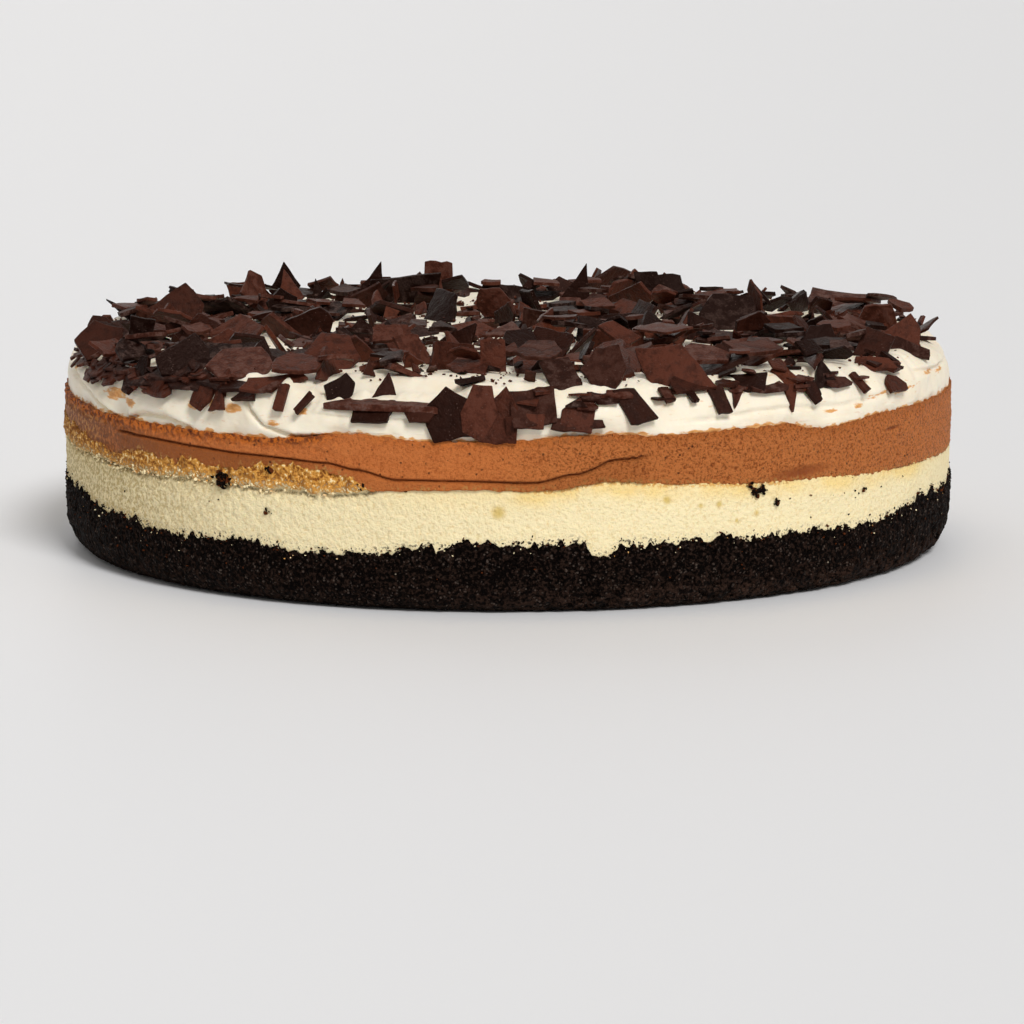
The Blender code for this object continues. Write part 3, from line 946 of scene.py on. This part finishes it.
# The shards that stand out, as in the solids: outline, x and y of the foot, width, height,
# lean (0 lies flat, 90 stands up), then turn about Z and roll in its own plane if there are any
standingShards = (
    ("pentagon", -96, 4, 16, 14, 60), ("spike", -108, 24, 4, 13, 50, 0, 62),
    ("slab", -102, 10, 12, 6, 115), ("kite", -112, -46, 13, 11, 50, 0, 10),
    ("pentagon", -86, -84, 14, 11, 52, 10), ("hexagon", -71, -97, 18, 14, 24),
    ("slab", -76, -84, 17, 11, 30), ("splinter", -61, -106, 20, 4, 40, 0, 14),
    ("hexagon", -99, -75, 6, 6, 70, -50), ("triangle", -76, -98, 6, 6, 60, -38),
    ("kite", -81, -93, 7, 5, 50, -40), ("hexagon", 25, -117, 12, 11, 52),
    ("slab", 15, -118, 9, 10, 40, 0, 20), ("trapezoid", 44, -112, 20, 12, 52),
    ("slab", 62, -106, 12, 5, 35, 0, 5), ("trapezoid", 75, -98, 8, 6, 45, 30),
    ("triangle", 84, -91, 10, 7, 60, 35), ("kite", 81, -95, 4, 5, 55, 38),
    ("splinter", 99, -71, 12, 4, 40, 20, -3), ("splinter", 110, -47, 14, 3.5, 50, 0, -22),
    ("pentagon", 110, -36, 10, 9, 60), ("hexagon", 105, -9, 13, 9, 108),
    ("triangle", 95, -10, 13, 8, 52), ("slab", 99, -60, 9, 9, 45, 0, -15),
    ("hexagon", 85, -57, 11, 9, 50), ("slab", 76, -8, 14, 7, 112),
    ("hexagon", 63, 2, 19, 12, 50, 0, -8), ("trapezoid", 44, 61, 13, 11, 80),
    ("spike", 19, 68, 11, 12, 82), ("slab", -3, 81, 13, 5, 75, 0, -3), ("slab", -22, 76, 9, 13, 86),
    ("slab", -31, 71, 22, 9, 104, 0, 8), ("spike", -44, 71, 12, 12, 82),
    ("triangle", -51, 72, 6, 7, 78), ("triangle", -58, 71, 6, 7, 75, 0, 10),
    ("diamond", -69, 80, 10, 12, 84), ("spike", -67, 73, 9, 9, 78, 0, 30),
    ("slab", -4, -95, 7, 9, 78, 0, 4), ("hexagon", -10, -100, 12, 10, 24),
    ("kite", 6, -96, 10, 11, 26, 0, -8), ("slab", 29, -48, 19, 7, 112),
    ("slab", 10, 4, 14, 6, 98, 0, -6), ("hexagon", -48, -87, 16, 13, 38, 0, -8),
    ("pentagon", -57, -14, 15, 9, 98), ("triangle", -32, -114, 7, 6, 60),
    ("pentagon", -44, -112, 8, 7, 52),
)

# The scattered shards of the solids, from the same seed
scatter = {
    "seed": 41,
    "count": 175,
    "radius": 114.0,
    "jitter": 3.0,
    "width": (9.0, 21.0, 12.0),
    "slimness": (0.45, 0.85),
    "flatShare": 0.62,
    "flatLean": (10.0, 30.0),
    "steepLean": (40.0, 80.0),
    "reach": 7.5,
    "clearOfStanding": 7.5,
    "furthest": 118.0,
}
goldenAngle = pi * (3 - sqrt(5))

# Finer chocolate that lies between and on them
fineChocolate = {
    "seed": 7,
    "mediumCount": 400,
    "mediumLeans": ((0, 12), (0, 18), (4, 26), (15, 50), (30, 85)),   # one of these, as likely each
    "mediumWidth": (5.0, 15.0, 8.0),
    "smallCount": 800,
    "smallWidth": (2.0, 6.0, 3.2),
    "crumbCount": 1700,
    "crumbWidth": (0.5, 1.6),
    "sideCount": 75,
    "sideLeft": (-78, -38),      # azimuths
    "sideRight": (2, 76),
    "sideTop": 58,
    "reach": 121,
    "keptClear": 0.85,
}
# How far down the small pieces on the cream's shoulder come: (azimuth, height)
sideBorder = (
    (-86, 52.0), (-70, 51.5), (-60, 50.5), (-52, 51.5), (-44, 53.5), (-36, 56.0), (-20, 57.5),
    (0, 54.0), (10, 53.0), (25, 55.0), (45, 54.5), (60, 54.0), (78, 56.5), (120, 57.5), (200, 57.5),
    (250, 56),
)
# How far out the fine chocolate reaches: (azimuth, radius)
heapBorder = (
    (-90, 120), (-62, 121), (-48, 121), (-38, 117), (-30, 111), (-20, 107), (-8, 107), (-1, 116),
    (12, 118), (24, 118), (40, 119), (58, 119), (72, 118), (100, 117), (140, 115), (172, 108),
    (188, 108), (205, 117), (221, 109), (240, 117),
)
# Places where the cream shows: x, y, half its width, half its length
clearings = (
    (-21, -6, 14, 26), (-64, -32, 9, 16), (-47, 2, 10, 20), (33, 28, 14, 20), (15, -80, 9, 13),
    (8, -45, 9, 13), (68, 0, 10, 16), (87, 20, 8, 14), (-60, 84, 10, 12), (-12, 98, 15, 17),
    (-81, 88, 10, 12), (-18, 48, 18, 15), (16, 62, 13, 13), (72, 50, 12, 12), (-45, -88, 9, 10),
    (50, -72, 9, 12), (-84, 8, 8, 14),
)


def isCleared(x, y):
    return any(hypot((x - left) / wide, (y - back) / long) < 1 for left, back, wide, long in clearings)


shard = {
    "thickness": 1.4,
    "sink": 1.8,
    "modelWidth": 12.0,      # size at which each outline is modelled before it is copied
    "modelHeight": 9.0,
    "edgeBreaks": 5,
    "bevel": 0.14,
    "dark": (0.0080, 0.0016, 0.0006),
    "brown": (0.088, 0.0245, 0.0138),
    "red": (0.105, 0.024, 0.009),
    "bloom": (0.150, 0.096, 0.082),
    "sheen": (1.0, 0.70, 0.62),
}
# Plates that lean on the cream's side and shoulder: outline, x and height of the foot,
# width, height, roll, and how much flatter than the side they lie
sideShards = (
    ("splinter", -32.8, 53.0, 34, 6, -1, 42, 1.8), ("slab", -35.5, 49.6, 11, 2.6, 4, 30),
    ("kite", -22.5, 50.0, 8, 3, -3, 20), ("kite", -14.5, 45.2, 13.5, 12.6, 4, 0),
    ("hexagon", -8.2, 46.0, 10, 12.2, -8, -7), ("pentagon", -2.6, 45.0, 11, 12.4, 2, 2),
    ("slab", 0.8, 44.6, 2, 6, 5, -8), ("slab", 7.6, 49.0, 12, 9.5, 12, 5),
    ("slab", 6.5, 48.6, 6, 2.4, 0, 20), ("pentagon", 18, 48.0, 9.5, 8.5, -8, 4),
    ("splinter", 18, 47.8, 15, 1.8, 0, 25), ("trapezoid", 33.2, 50.0, 10, 8, 8, 6),
    ("splinter", 28.5, 55.8, 7, 2.5, 0, 20), ("slab", 41.5, 54.5, 3, 3.4, 20, 6),
    ("slab", 48, 54.2, 2, 4, 15, 8), ("slab", 56, 50.6, 4.5, 6.8, 12, 4),
    ("triangle", 61, 51.0, 4.5, 5.2, 160, 4), ("triangle", 75.6, 49.4, 5, 6, 178, 4),
    ("kite", 81.3, 51.2, 4.2, 5.8, 15, 3), ("trapezoid", 94.5, 52.6, 3.6, 4.5, 10, 5),
    ("leaf", 105, 51.0, 9, 3.6, 0, 20), ("triangle", -76.3, 49.6, 5.6, 6, 8, 3),
    ("hexagon", -81.5, 50.0, 7, 6, -16, 8), ("slab", -59.4, 51.0, 3, 6.8, 5, 5),
    ("slab", -54, 50.8, 2, 5.2, -32, 6), ("hexagon", -102.4, 50.6, 7, 7, 0, 4),
    ("leaf", -92.9, 51.8, 10.5, 4, -4, 22), ("triangle", -68.6, 53.0, 8, 4.6, 4, 12),
    ("slab", -98, 53.5, 12, 5, 4, 18), ("kite", -108, 52.0, 7, 6, 10, 8),
    ("splinter", -86, 54.0, 13, 4, -5, 20), ("leaf", -112, 53.5, 8, 5, 0, 12),
    ("slab", -115, 51.5, 4, 5, 15, 6), ("splinter", -72, 55.0, 12, 4, 3, 20),
    ("kite", -64, 55.5, 8, 5, 8, 18), ("splinter", 88, 54.5, 10, 3.5, -6, 20),
    ("leaf", -90, 56.0, 12, 6, 10, 22), ("slab", -78, 56.0, 10, 4, -12, 25),
    ("splinter", -104, 55.5, 12, 4, 4, 22), ("kite", 25, 54.8, 9, 5, -6, 15),
    ("leaf", 48, 56.8, 12, 6, 5, 25), ("slab", 68, 55.5, 12, 5, -4, 25),
)
# More plates laid near the front, in the same terms as the standing ones
frontShards = (
    ("leaf", -55, -104, 13, 9, 20, 10), ("slab", -66, -101, 15, 6, 22, 24),
    ("hexagon", -88, -84, 9, 6, 40, 60), ("leaf", -100, -68, 11, 7, 30, 40),
    ("slab", -108, -56, 13, 5, 30, 60), ("slab", 27, -108, 16, 8, 16, -8),
    ("leaf", 52, -98, 15, 9, 18, 20), ("slab", 66, -91, 16, 7, 15, 30),
    ("splinter", 36, -103, 18, 7, 14, 12), ("hexagon", 8, -110, 13, 9, 18),
    ("slab", -86, -74, 14, 8, 14, 20),
)


def modelShard(outline, breaks, seed):
    # one plate, drawn point by point, filled, thickened and bevelled
    draw = random.Random(seed)
    corners = []
    for u, v in shardOutlines[outline]:
        u = (u + draw.uniform(-0.06, 0.06)) * shard["modelWidth"]
        v = (v + draw.uniform(-0.05, 0.05)) * shard["modelHeight"]
        corners.append(Vector((u, v, 0)))
    points = []
    for start, end in zip(corners, corners[1:] + corners[:1]):
        cuts = max(1, round(breaks * (end - start).length / shard["modelWidth"]))
        across = Vector((end.y - start.y, start.x - end.x, 0)).normalized()
        bow = draw.uniform(-0.15, 0.35)
        for cut in range(cuts):
            share = cut / cuts
            chip = bow * 4 * share * (1 - share) + (draw.uniform(-0.32, 0.14) if cut else 0)
            points.append(start.lerp(end, share) + across * chip)
    deselectAll()
    bpy.ops.mesh.primitive_plane_add(size=mm)
    plate = bpy.context.object
    editMode("VERT")
    bpy.ops.mesh.merge(type="CENTER")
    bpy.ops.transform.translate(value=points[0] * mm)
    for before, after in zip(points, points[1:]):
        bpy.ops.mesh.extrude_region_move(TRANSFORM_OT_translate={"value": (after - before) * mm})
    bpy.ops.mesh.select_all(action="SELECT")
    bpy.ops.mesh.edge_face_add()
    bpy.ops.transform.translate(value=(0, 0, -shard["thickness"] / 2 * mm))
    bpy.ops.mesh.extrude_region_move(TRANSFORM_OT_translate={"value": (0, 0, shard["thickness"] * mm)})
    bpy.ops.mesh.select_all(action="SELECT")
    bpy.ops.mesh.normals_make_consistent(inside=False)
    if breaks > 1:
        bpy.ops.mesh.bevel(offset=shard["bevel"] * mm, segments=1, affect="EDGES")
    bpy.ops.mesh.select_all(action="DESELECT")
    objectMode()
    for face in plate.data.polygons:
        face.select = abs(face.normal.z) > 0.9 and len(face.vertices) > 4
    editMode("FACE")
    if breaks > 1:
        bpy.ops.mesh.inset(thickness=1.1 * mm)
    bpy.ops.mesh.poke()
    objectMode()
    mesh = plate.data
    bpy.data.objects.remove(plate)
    return mesh


# Height of what lies on the cake so far, on a grid, so that new pieces come to rest on it
ground = {"step": 1.2, "reach": 133.0, "heights": {}}


def groundCell(x, y):
    return (int((x + ground["reach"]) / ground["step"]), int((y + ground["reach"]) / ground["step"]))


def groundAt(x, y):
    return ground["heights"].get(groundCell(x, y), noGround)


def coverGround(mesh):
    # the piece becomes ground for those that follow
    for face in mesh.polygons:
        if abs(face.normal.z) < 0.15:
            continue
        middle = face.center / mm
        for index in face.vertices:
            corner = mesh.vertices[index].co / mm
            for share in (0.0, 0.25, 0.5, 0.75):
                spot = middle.lerp(corner, share)
                cell = groundCell(spot.x, spot.y)
                if spot.z > ground["heights"].get(cell, noGround):
                    ground["heights"][cell] = spot.z


def settle(mesh, bury):
    # lowers or lifts the piece until it rests on the ground, sunk in by bury
    gap = inf
    for vert in mesh.vertices:
        x, y, z = vert.co / mm
        gap = min(gap, z - max(groundAt(x, y), creamSurface(x, y)))
    mesh.transform(Matrix.Translation((0, 0, -(gap + bury) * mm)))
    return -(gap + bury)


def addPiece(name, mesh, tone, bloomed):
    # one piece of chocolate or crumb, painted in one tone
    for attribute, value in (("tone", tone), ("bloomed", bloomed)):
        numbers = [value] * len(mesh.vertices)
        mesh.attributes.new(attribute, "FLOAT", "POINT").data.foreach_set("value", numbers)
    return linkNew(name, mesh)


def layShard(
    plates, outline, x, y, width, height, lean, turn=0, roll=0,
    thickness=None, bury=None, perch=6.0, seed=0, foot=None,
):
    # a copy of the modelled plate, stretched to size, bent a little and laid in place
    draw = random.Random(seed)
    mesh = draw.choice(plates[outline]).copy()
    length = height + shard["sink"]
    bend = draw.uniform(-0.06, 0.06) * width
    twist = draw.uniform(-0.08, 0.08) * height
    thick = (thickness or shard["thickness"] * draw.uniform(0.75, 1.05)) / shard["thickness"]
    for vert in mesh.vertices:
        u = vert.co.x / mm / shard["modelWidth"] * width
        v = vert.co.y / mm / shard["modelHeight"] * length - shard["sink"]
        w = vert.co.z / mm * thick + bend * ((2 * u / width) ** 2 - 0.3)
        w += twist * (u / width) * (v / height)
        w += 0.09 * noise(Vector((u / 2.5, v / 2.5, seed * 0.37)))
        vert.co = Vector((u, v, w)) * mm
    placing = (
        Matrix.Translation(Vector((x, y, creamSurface(x, y) if foot is None else foot)) * mm)
        @ Matrix.Rotation(radians(turn), 4, "Z")
        @ Matrix.Rotation(radians(lean), 4, "X")
        @ Matrix.Rotation(radians(roll), 4, "Z")
    )
    mesh.transform(placing)
    if bury is not None and settle(mesh, bury) > perch:
        bpy.data.meshes.remove(mesh)      # it would stand out on top of the heap
        return None
    coverGround(mesh)
    tone = draw.random() ** 1.4 if foot is None else draw.uniform(0.15, 0.8)
    # flatter plates get more: partly real bloom, partly painted sheen for their grazing reflection
    bloomed = draw.uniform(0.35, 1.0) if lean < 32 else draw.uniform(0.0, 0.7)
    return addPiece("shard", mesh, tone, bloomed)


def shoulderRadius(z):
    # how far out the cream's side and shoulder reach at height z
    rise = min(max((z - cake["shoulderFoot"]) / (cake["creamTop"] - cake["shoulderFoot"]), 0), 0.98)
    return cake["rimRadius"] + (cake["creamRadius"] - cake["rimRadius"]) * sqrt(1 - rise * rise)


def leanShard(plates, outline, x, z, width, height, roll, flatter, thickness=1.1, seed=0):
    # the plate follows the slope between its foot and its top
    turned = abs(roll) > 90          # upside down: its foot is where the top was
    low = shoulderRadius(z)
    high = shoulderRadius(z + 0.85 * height)
    slope = degrees(atan2(0.85 * height, low - high)) - flatter
    azimuth = degrees(asin(min(max(x / (low + 0.6), -0.99), 0.99)))
    start = onSide(azimuth, low + 0.6, z)
    if turned:
        lift = radians(slope)
        start = onSide(azimuth, low + 0.6 - height * cos(lift), z + height * sin(lift))
    raised = 0 if turned else shard["sink"] * 0.9 * sin(radians(slope))
    return layShard(
        plates, outline, start.x, start.y, width, height, slope, azimuth, roll,
        thickness=thickness, seed=seed, foot=start.z + raised,
    )


def joinPieces(name, pieces, finish):
    deselectAll()
    pieces = [piece for piece in pieces if piece]
    for piece in pieces:
        piece.select_set(True)
    bpy.context.view_layer.objects.active = pieces[0]
    bpy.ops.object.join()
    heap = bpy.context.object
    heap.name = name
    heap.data.name = name
    heap.data.materials.clear()
    heap.data.materials.append(finish)
    bpy.ops.object.shade_smooth_by_angle(angle=radians(28))
    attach(heap, "root")
    heap.data.calc_loop_triangles()
    print(name, "laid:", len(pieces), "pieces,", len(heap.data.loop_triangles), "triangles")


def scatteredShards():
    draw = random.Random(scatter["seed"])
    outlines = [name for name, points in shardOutlines.items() if len(points) < 6]
    rows = []
    for index in range(scatter["count"]):
        radius = scatter["radius"] * sqrt((index + 0.5) / scatter["count"])
        angle = index * goldenAngle
        x = radius * cos(angle) + draw.uniform(-1, 1) * scatter["jitter"]
        y = radius * sin(angle) + draw.uniform(-1, 1) * scatter["jitter"]
        width = draw.triangular(*scatter["width"])
        isFlat = draw.random() < scatter["flatShare"]
        lean = draw.uniform(*scatter["flatLean" if isFlat else "steepLean"])
        tallest = scatter["reach"] / sin(radians(lean))
        height = min(width * draw.uniform(*scatter["slimness"]), tallest)
        turn = draw.uniform(-180, 180)
        roll = draw.uniform(-20, 20)
        outline = draw.choice(outlines)
        spacing = min(hypot(x - row[1], y - row[2]) for row in standingShards)
        if spacing > scatter["clearOfStanding"]:
            if isCleared(x, y):
                lean *= 0.35      # lies flatter where the cream shows
            span = height * cos(radians(lean))
            across, back = x - span * sin(radians(turn)), y + span * cos(radians(turn))
            over = hypot(across, back) - scatter["furthest"]
            if over > 0:          # drawn in, so that it doesn't hang over the rim
                x -= over * across / hypot(across, back)
                y -= over * back / hypot(across, back)
            rows.append((outline, x, y, width, height, lean, turn, roll))
    return rows


def spotOnTop(draw, further=0.0):
    # a place on the cream, inside the heap's uneven border and out of its clearings
    while True:
        radius = fineChocolate["reach"] * sqrt(draw.random())
        azimuth = draw.uniform(-180, 180)
        border = edgeHeight(heapBorder, azimuth) + 3 * jagged(azimuth, 12, 2.9) + further
        spot = onSide(azimuth, radius)
        if radius >= border:
            continue
        if not (isCleared(spot.x, spot.y) and draw.random() < fineChocolate["keptClear"]):
            return spot.x, spot.y


def makeShards():
    finish = chocolateFinish()
    plates = {
        name: [modelShard(name, shard["edgeBreaks"], 11 * number + variant) for variant in range(5)]
        for number, name in enumerate(shardOutlines)
    }
    plain = {
        name: [modelShard(name, 1, 5 * number + variant) for variant in range(2)]
        for number, name in enumerate(shardOutlines)
    }
    rows = standingShards + tuple(scatteredShards())
    pieces = [layShard(plates, *row, seed=index) for index, row in enumerate(rows)]
    pieces += [layShard(plates, *row, bury=0.5, seed=500 + n) for n, row in enumerate(frontShards)]
    pieces += [leanShard(plates, *row, seed=600 + n) for n, row in enumerate(sideShards)]
    joinPieces("largeShards", pieces, finish)

    draw = random.Random(fineChocolate["seed"])
    names = list(shardOutlines)
    pieces = []
    for index in range(fineChocolate["mediumCount"]):
        x, y = spotOnTop(draw)
        width = draw.triangular(*fineChocolate["mediumWidth"])
        height = width * draw.uniform(0.2, 0.75)
        lean = draw.choice([draw.uniform(*leans) for leans in fineChocolate["mediumLeans"]])
        pieces.append(layShard(
            plates, draw.choice(names), x, y, width, height, lean, draw.uniform(-180, 180),
            draw.uniform(-25, 25), thickness=draw.uniform(0.7, 1.3), bury=0.35, seed=1000 + index,
        ))
    joinPieces("mediumShards", pieces, finish)

    pieces = []
    for index in range(fineChocolate["smallCount"]):
        x, y = spotOnTop(draw, 2.5)
        width = draw.triangular(*fineChocolate["smallWidth"])
        height = width * draw.uniform(0.15, 0.8)
        pieces.append(layShard(
            plain, draw.choice(names), x, y, width, height, draw.uniform(0, 60),
            draw.uniform(-180, 180), draw.uniform(-25, 25), thickness=draw.uniform(0.4, 0.9),
            bury=0.25, perch=3.2, seed=3000 + index,
        ))
    for index in range(fineChocolate["sideCount"]):
        azimuth = draw.uniform(*fineChocolate["sideLeft" if index % 3 else "sideRight"])
        height = draw.uniform(1.0, 3.2)
        lowest = edgeHeight(sideBorder, azimuth) + 1.2 * jagged(azimuth, 5, 4.6)
        z = lowest + draw.random() ** 0.8 * (fineChocolate["sideTop"] - lowest)
        pieces.append(leanShard(
            plain, draw.choice(names), shoulderRadius(z) * sin(radians(azimuth)), z,
            draw.uniform(1.5, 7), height, draw.uniform(-20, 20), draw.uniform(5, 45),
            thickness=draw.uniform(0.5, 0.9), seed=4000 + index,
        ))
    joinPieces("smallShards", pieces, finish)


def chocolateFinish():
    material = newFinish("darkChocolate")
    tone, bloomed = painted("tone"), painted("bloomed")
    mottle = grain(2.6, 4, 0.65)
    fine = grain(0.5, 3, 0.6)
    speck = times(window(cells(0.9), 0.2, 0.1), window(grain(4, 2), 0.5, 0.62), 0.6)
    # bloom colour: partly real cocoa-butter bloom, partly painted sheen, stronger on flatter plates
    dustAndSheen = times(window(bloomed, 0.45, 0.95), window(mottle, 0.45, 0.6))
    dustAndSheen = times(dustAndSheen, window(fine, 0.35, 0.65, to=(0.2, 0.6)))
    color = layered(
        shard, "dark",
        (window(tone, 0.0, 0.8), "brown"),
        (window(tone, 0.9, 1.0, to=(0, 0.6)), "red"),
        (window(mottle, 0.56, 0.36, to=(0, 0.5)), "dark"),
        (reckon("MAXIMUM", dustAndSheen, speck), "bloom"),
    )
    roughness = window(plus(times(bloomed, 0.5), mottle), 0.35, 1.1, to=(0.28, 0.66))
    normal = bump(fine, 0.7, 0.3, bump(mottle, 0.8, 0.9))
    return coat(material, color, roughness, normal, 0.12, tint=shard["sheen"])


# Crumbs

def modelCrumb(seed):
    # an angular chip: a small icosphere with its points pulled about
    draw = random.Random(seed)
    deselectAll()
    bpy.ops.mesh.primitive_ico_sphere_add(subdivisions=1, radius=0.5 * mm)
    chip = bpy.context.object
    for vert in chip.data.vertices:
        vert.co = vert.co * draw.uniform(0.55, 1.2)
        vert.co.z *= 0.7
    mesh = chip.data
    bpy.data.objects.remove(chip)
    return mesh


def layCrumb(chips, draw, place, width):
    mesh = draw.choice(chips).copy()
    spin = Matrix.Rotation(draw.uniform(0, tau), 4, (draw.uniform(-1, 1), draw.uniform(-1, 1), 1))
    stretch = Matrix.Diagonal((width, width * draw.uniform(0.5, 1.0), width * draw.uniform(0.5, 1.0), 1))
    mesh.transform(Matrix.Translation(place * mm) @ spin @ stretch)
    return addPiece("crumb", mesh, draw.uniform(0.4, 1.0), draw.random() * 0.6)


cookieCrumbs = {
    "seed": 23,
    "edgeCount": 1500,
    "width": (0.35, 1.1),
    "rusty": (0.12, 0.030, 0.008),
    # clusters on the cheesecake: azimuth, height, spread in mm, how many
    "clusters": (
        (-36.3, 31.6, 2.0, 80), (29.9, 31.2, 0.9, 10), (30.6, 29.6, 1.1, 22), (31.8, 29.6, 1.1, 22),
        (31, 28.4, 0.9, 10), (33.8, 25.9, 1.1, 12), (48.9, 25.9, 0.7, 5), (-17.4, 32.0, 1.3, 8),
        (-29.6, 24.4, 0.8, 7), (-29.4, 35.2, 1.4, 9),
    ),
    "strays": (
        (35.9, 26.4), (39.2, 26.7), (39.3, 20.7), (43.1, 25.8), (45.1, 25.9), (47.2, 25.9), (52.5, 25.6),
        (47.2, 24.1), (47.9, 25.0), (45.9, 19.9), (46.6, 29.7), (-55, 23.7), (-38.5, 25.2), (-37, 26),
        (58, 27), (-12, 31.8),
    ),
}


def makeCrumbs():
    draw = random.Random(cookieCrumbs["seed"])
    chips = [modelCrumb(seed) for seed in range(6)]
    pieces = []
    while len(pieces) < fineChocolate["crumbCount"]:
        x, y = spotOnTop(draw, 3)
        if groundAt(x, y) - creamSurface(x, y) > 1.6:
            continue
        width = draw.uniform(*fineChocolate["crumbWidth"])
        level = max(groundAt(x, y), creamSurface(x, y)) + 0.15 * width
        pieces.append(layCrumb(chips, draw, Vector((x, y, level)), width))
    joinPieces("chocolateCrumbs", pieces, chocolateFinish())

    pieces = []
    for index in range(cookieCrumbs["edgeCount"]):
        azimuth = draw.uniform(-180, 180)
        above = draw.gauss(0, 0.8) if draw.random() < 0.75 else draw.uniform(-9, 0)
        z = crustBoundary(azimuth, cake["radius"]) + above
        radius = cake["mousseRadius"] if above > 0 else cake["radius"]
        spot = onSide(azimuth, radius, max(z, 7))
        pieces.append(layCrumb(chips, draw, spot, draw.uniform(*cookieCrumbs["width"])))
    for azimuth, z, spread, count in cookieCrumbs["clusters"]:
        out = cake["cheesecakeRadius"] + 0.35 * min(spread, 2)
        for index in range(count):
            across = azimuth + draw.gauss(0, spread / 2) / mmPerDegree
            spot = onSide(across, out, z + draw.gauss(0, spread / 2))
            pieces.append(layCrumb(chips, draw, spot, draw.uniform(0.6, 1.1 + 0.5 * spread)))
    for azimuth, z in cookieCrumbs["strays"]:
        spot = onSide(azimuth, cake["cheesecakeRadius"], z)
        pieces.append(layCrumb(chips, draw, spot, draw.uniform(0.5, 1.1)))
    joinPieces("cookieCrumbs", pieces, cookieCrumbFinish())


cheeseCrumbs = {
    "seed": 31,
    "lipCount": 230,
    "lipRadius": 126.75,
    "lipWidth": (0.5, 1.5),
    "crustCount": 160,
    "crustRadius": 126.9,
    "crustWidth": (0.25, 0.8),
}


def makeCheeseCrumbs():
    # loose crumbs under the toasted lip and on the crust's upper edge
    draw = random.Random(cheeseCrumbs["seed"])
    chips = [modelCrumb(seed) for seed in range(4)]
    pieces = []
    for index in range(cheeseCrumbs["lipCount"]):
        azimuth = draw.triangular(-86, -16, -44)
        spot = onSide(azimuth, cheeseCrumbs["lipRadius"], lipBorder(azimuth) + draw.gauss(0.5, 0.8))
        pieces.append(layCrumb(chips, draw, spot, draw.uniform(*cheeseCrumbs["lipWidth"])))
    for index in range(cheeseCrumbs["crustCount"]):
        azimuth = draw.uniform(-180, 180)
        z = crustBoundary(azimuth, cake["radius"]) - abs(draw.gauss(0, 1.6))
        spot = onSide(azimuth, cheeseCrumbs["crustRadius"], z)
        pieces.append(layCrumb(chips, draw, spot, draw.uniform(*cheeseCrumbs["crustWidth"])))
    joinPieces("cheeseCrumbs", pieces, cheeseCrumbFinish())


def cheeseCrumbFinish():
    material = newFinish("looseCheeseCrumb")
    crumb = grain(0.7, 4, 0.6)
    color = layered(
        cheesecake, "golden",
        (window(crumb, 0.4, 0.65), "crumbs"),
        (window(painted("tone"), 0.5, 0.6), "pale"),
    )
    return coat(material, color, 0.65, bump(crumb, 0.8, 0.3), 0.12)


def cookieCrumbFinish():
    material = newFinish("looseCookieCrumb")
    crumb = grain(0.5, 4, 0.65)
    color = layered(
        crust, "black",
        (window(crumb, 0.4, 0.75), "brown"),
        (window(painted("tone"), 0.84, 0.9, to=(0, 0.8)), cookieCrumbs["rusty"]),
    )
    return coat(material, color, 0.75, bump(crumb, 0.8, 0.4), 0.04)


placeCamera()
makeStudio()
makeCrust()
makeCheesecake()
makeMousse()
makeCream()
makeShards()
makeCrumbs()
makeCheeseCrumbs()
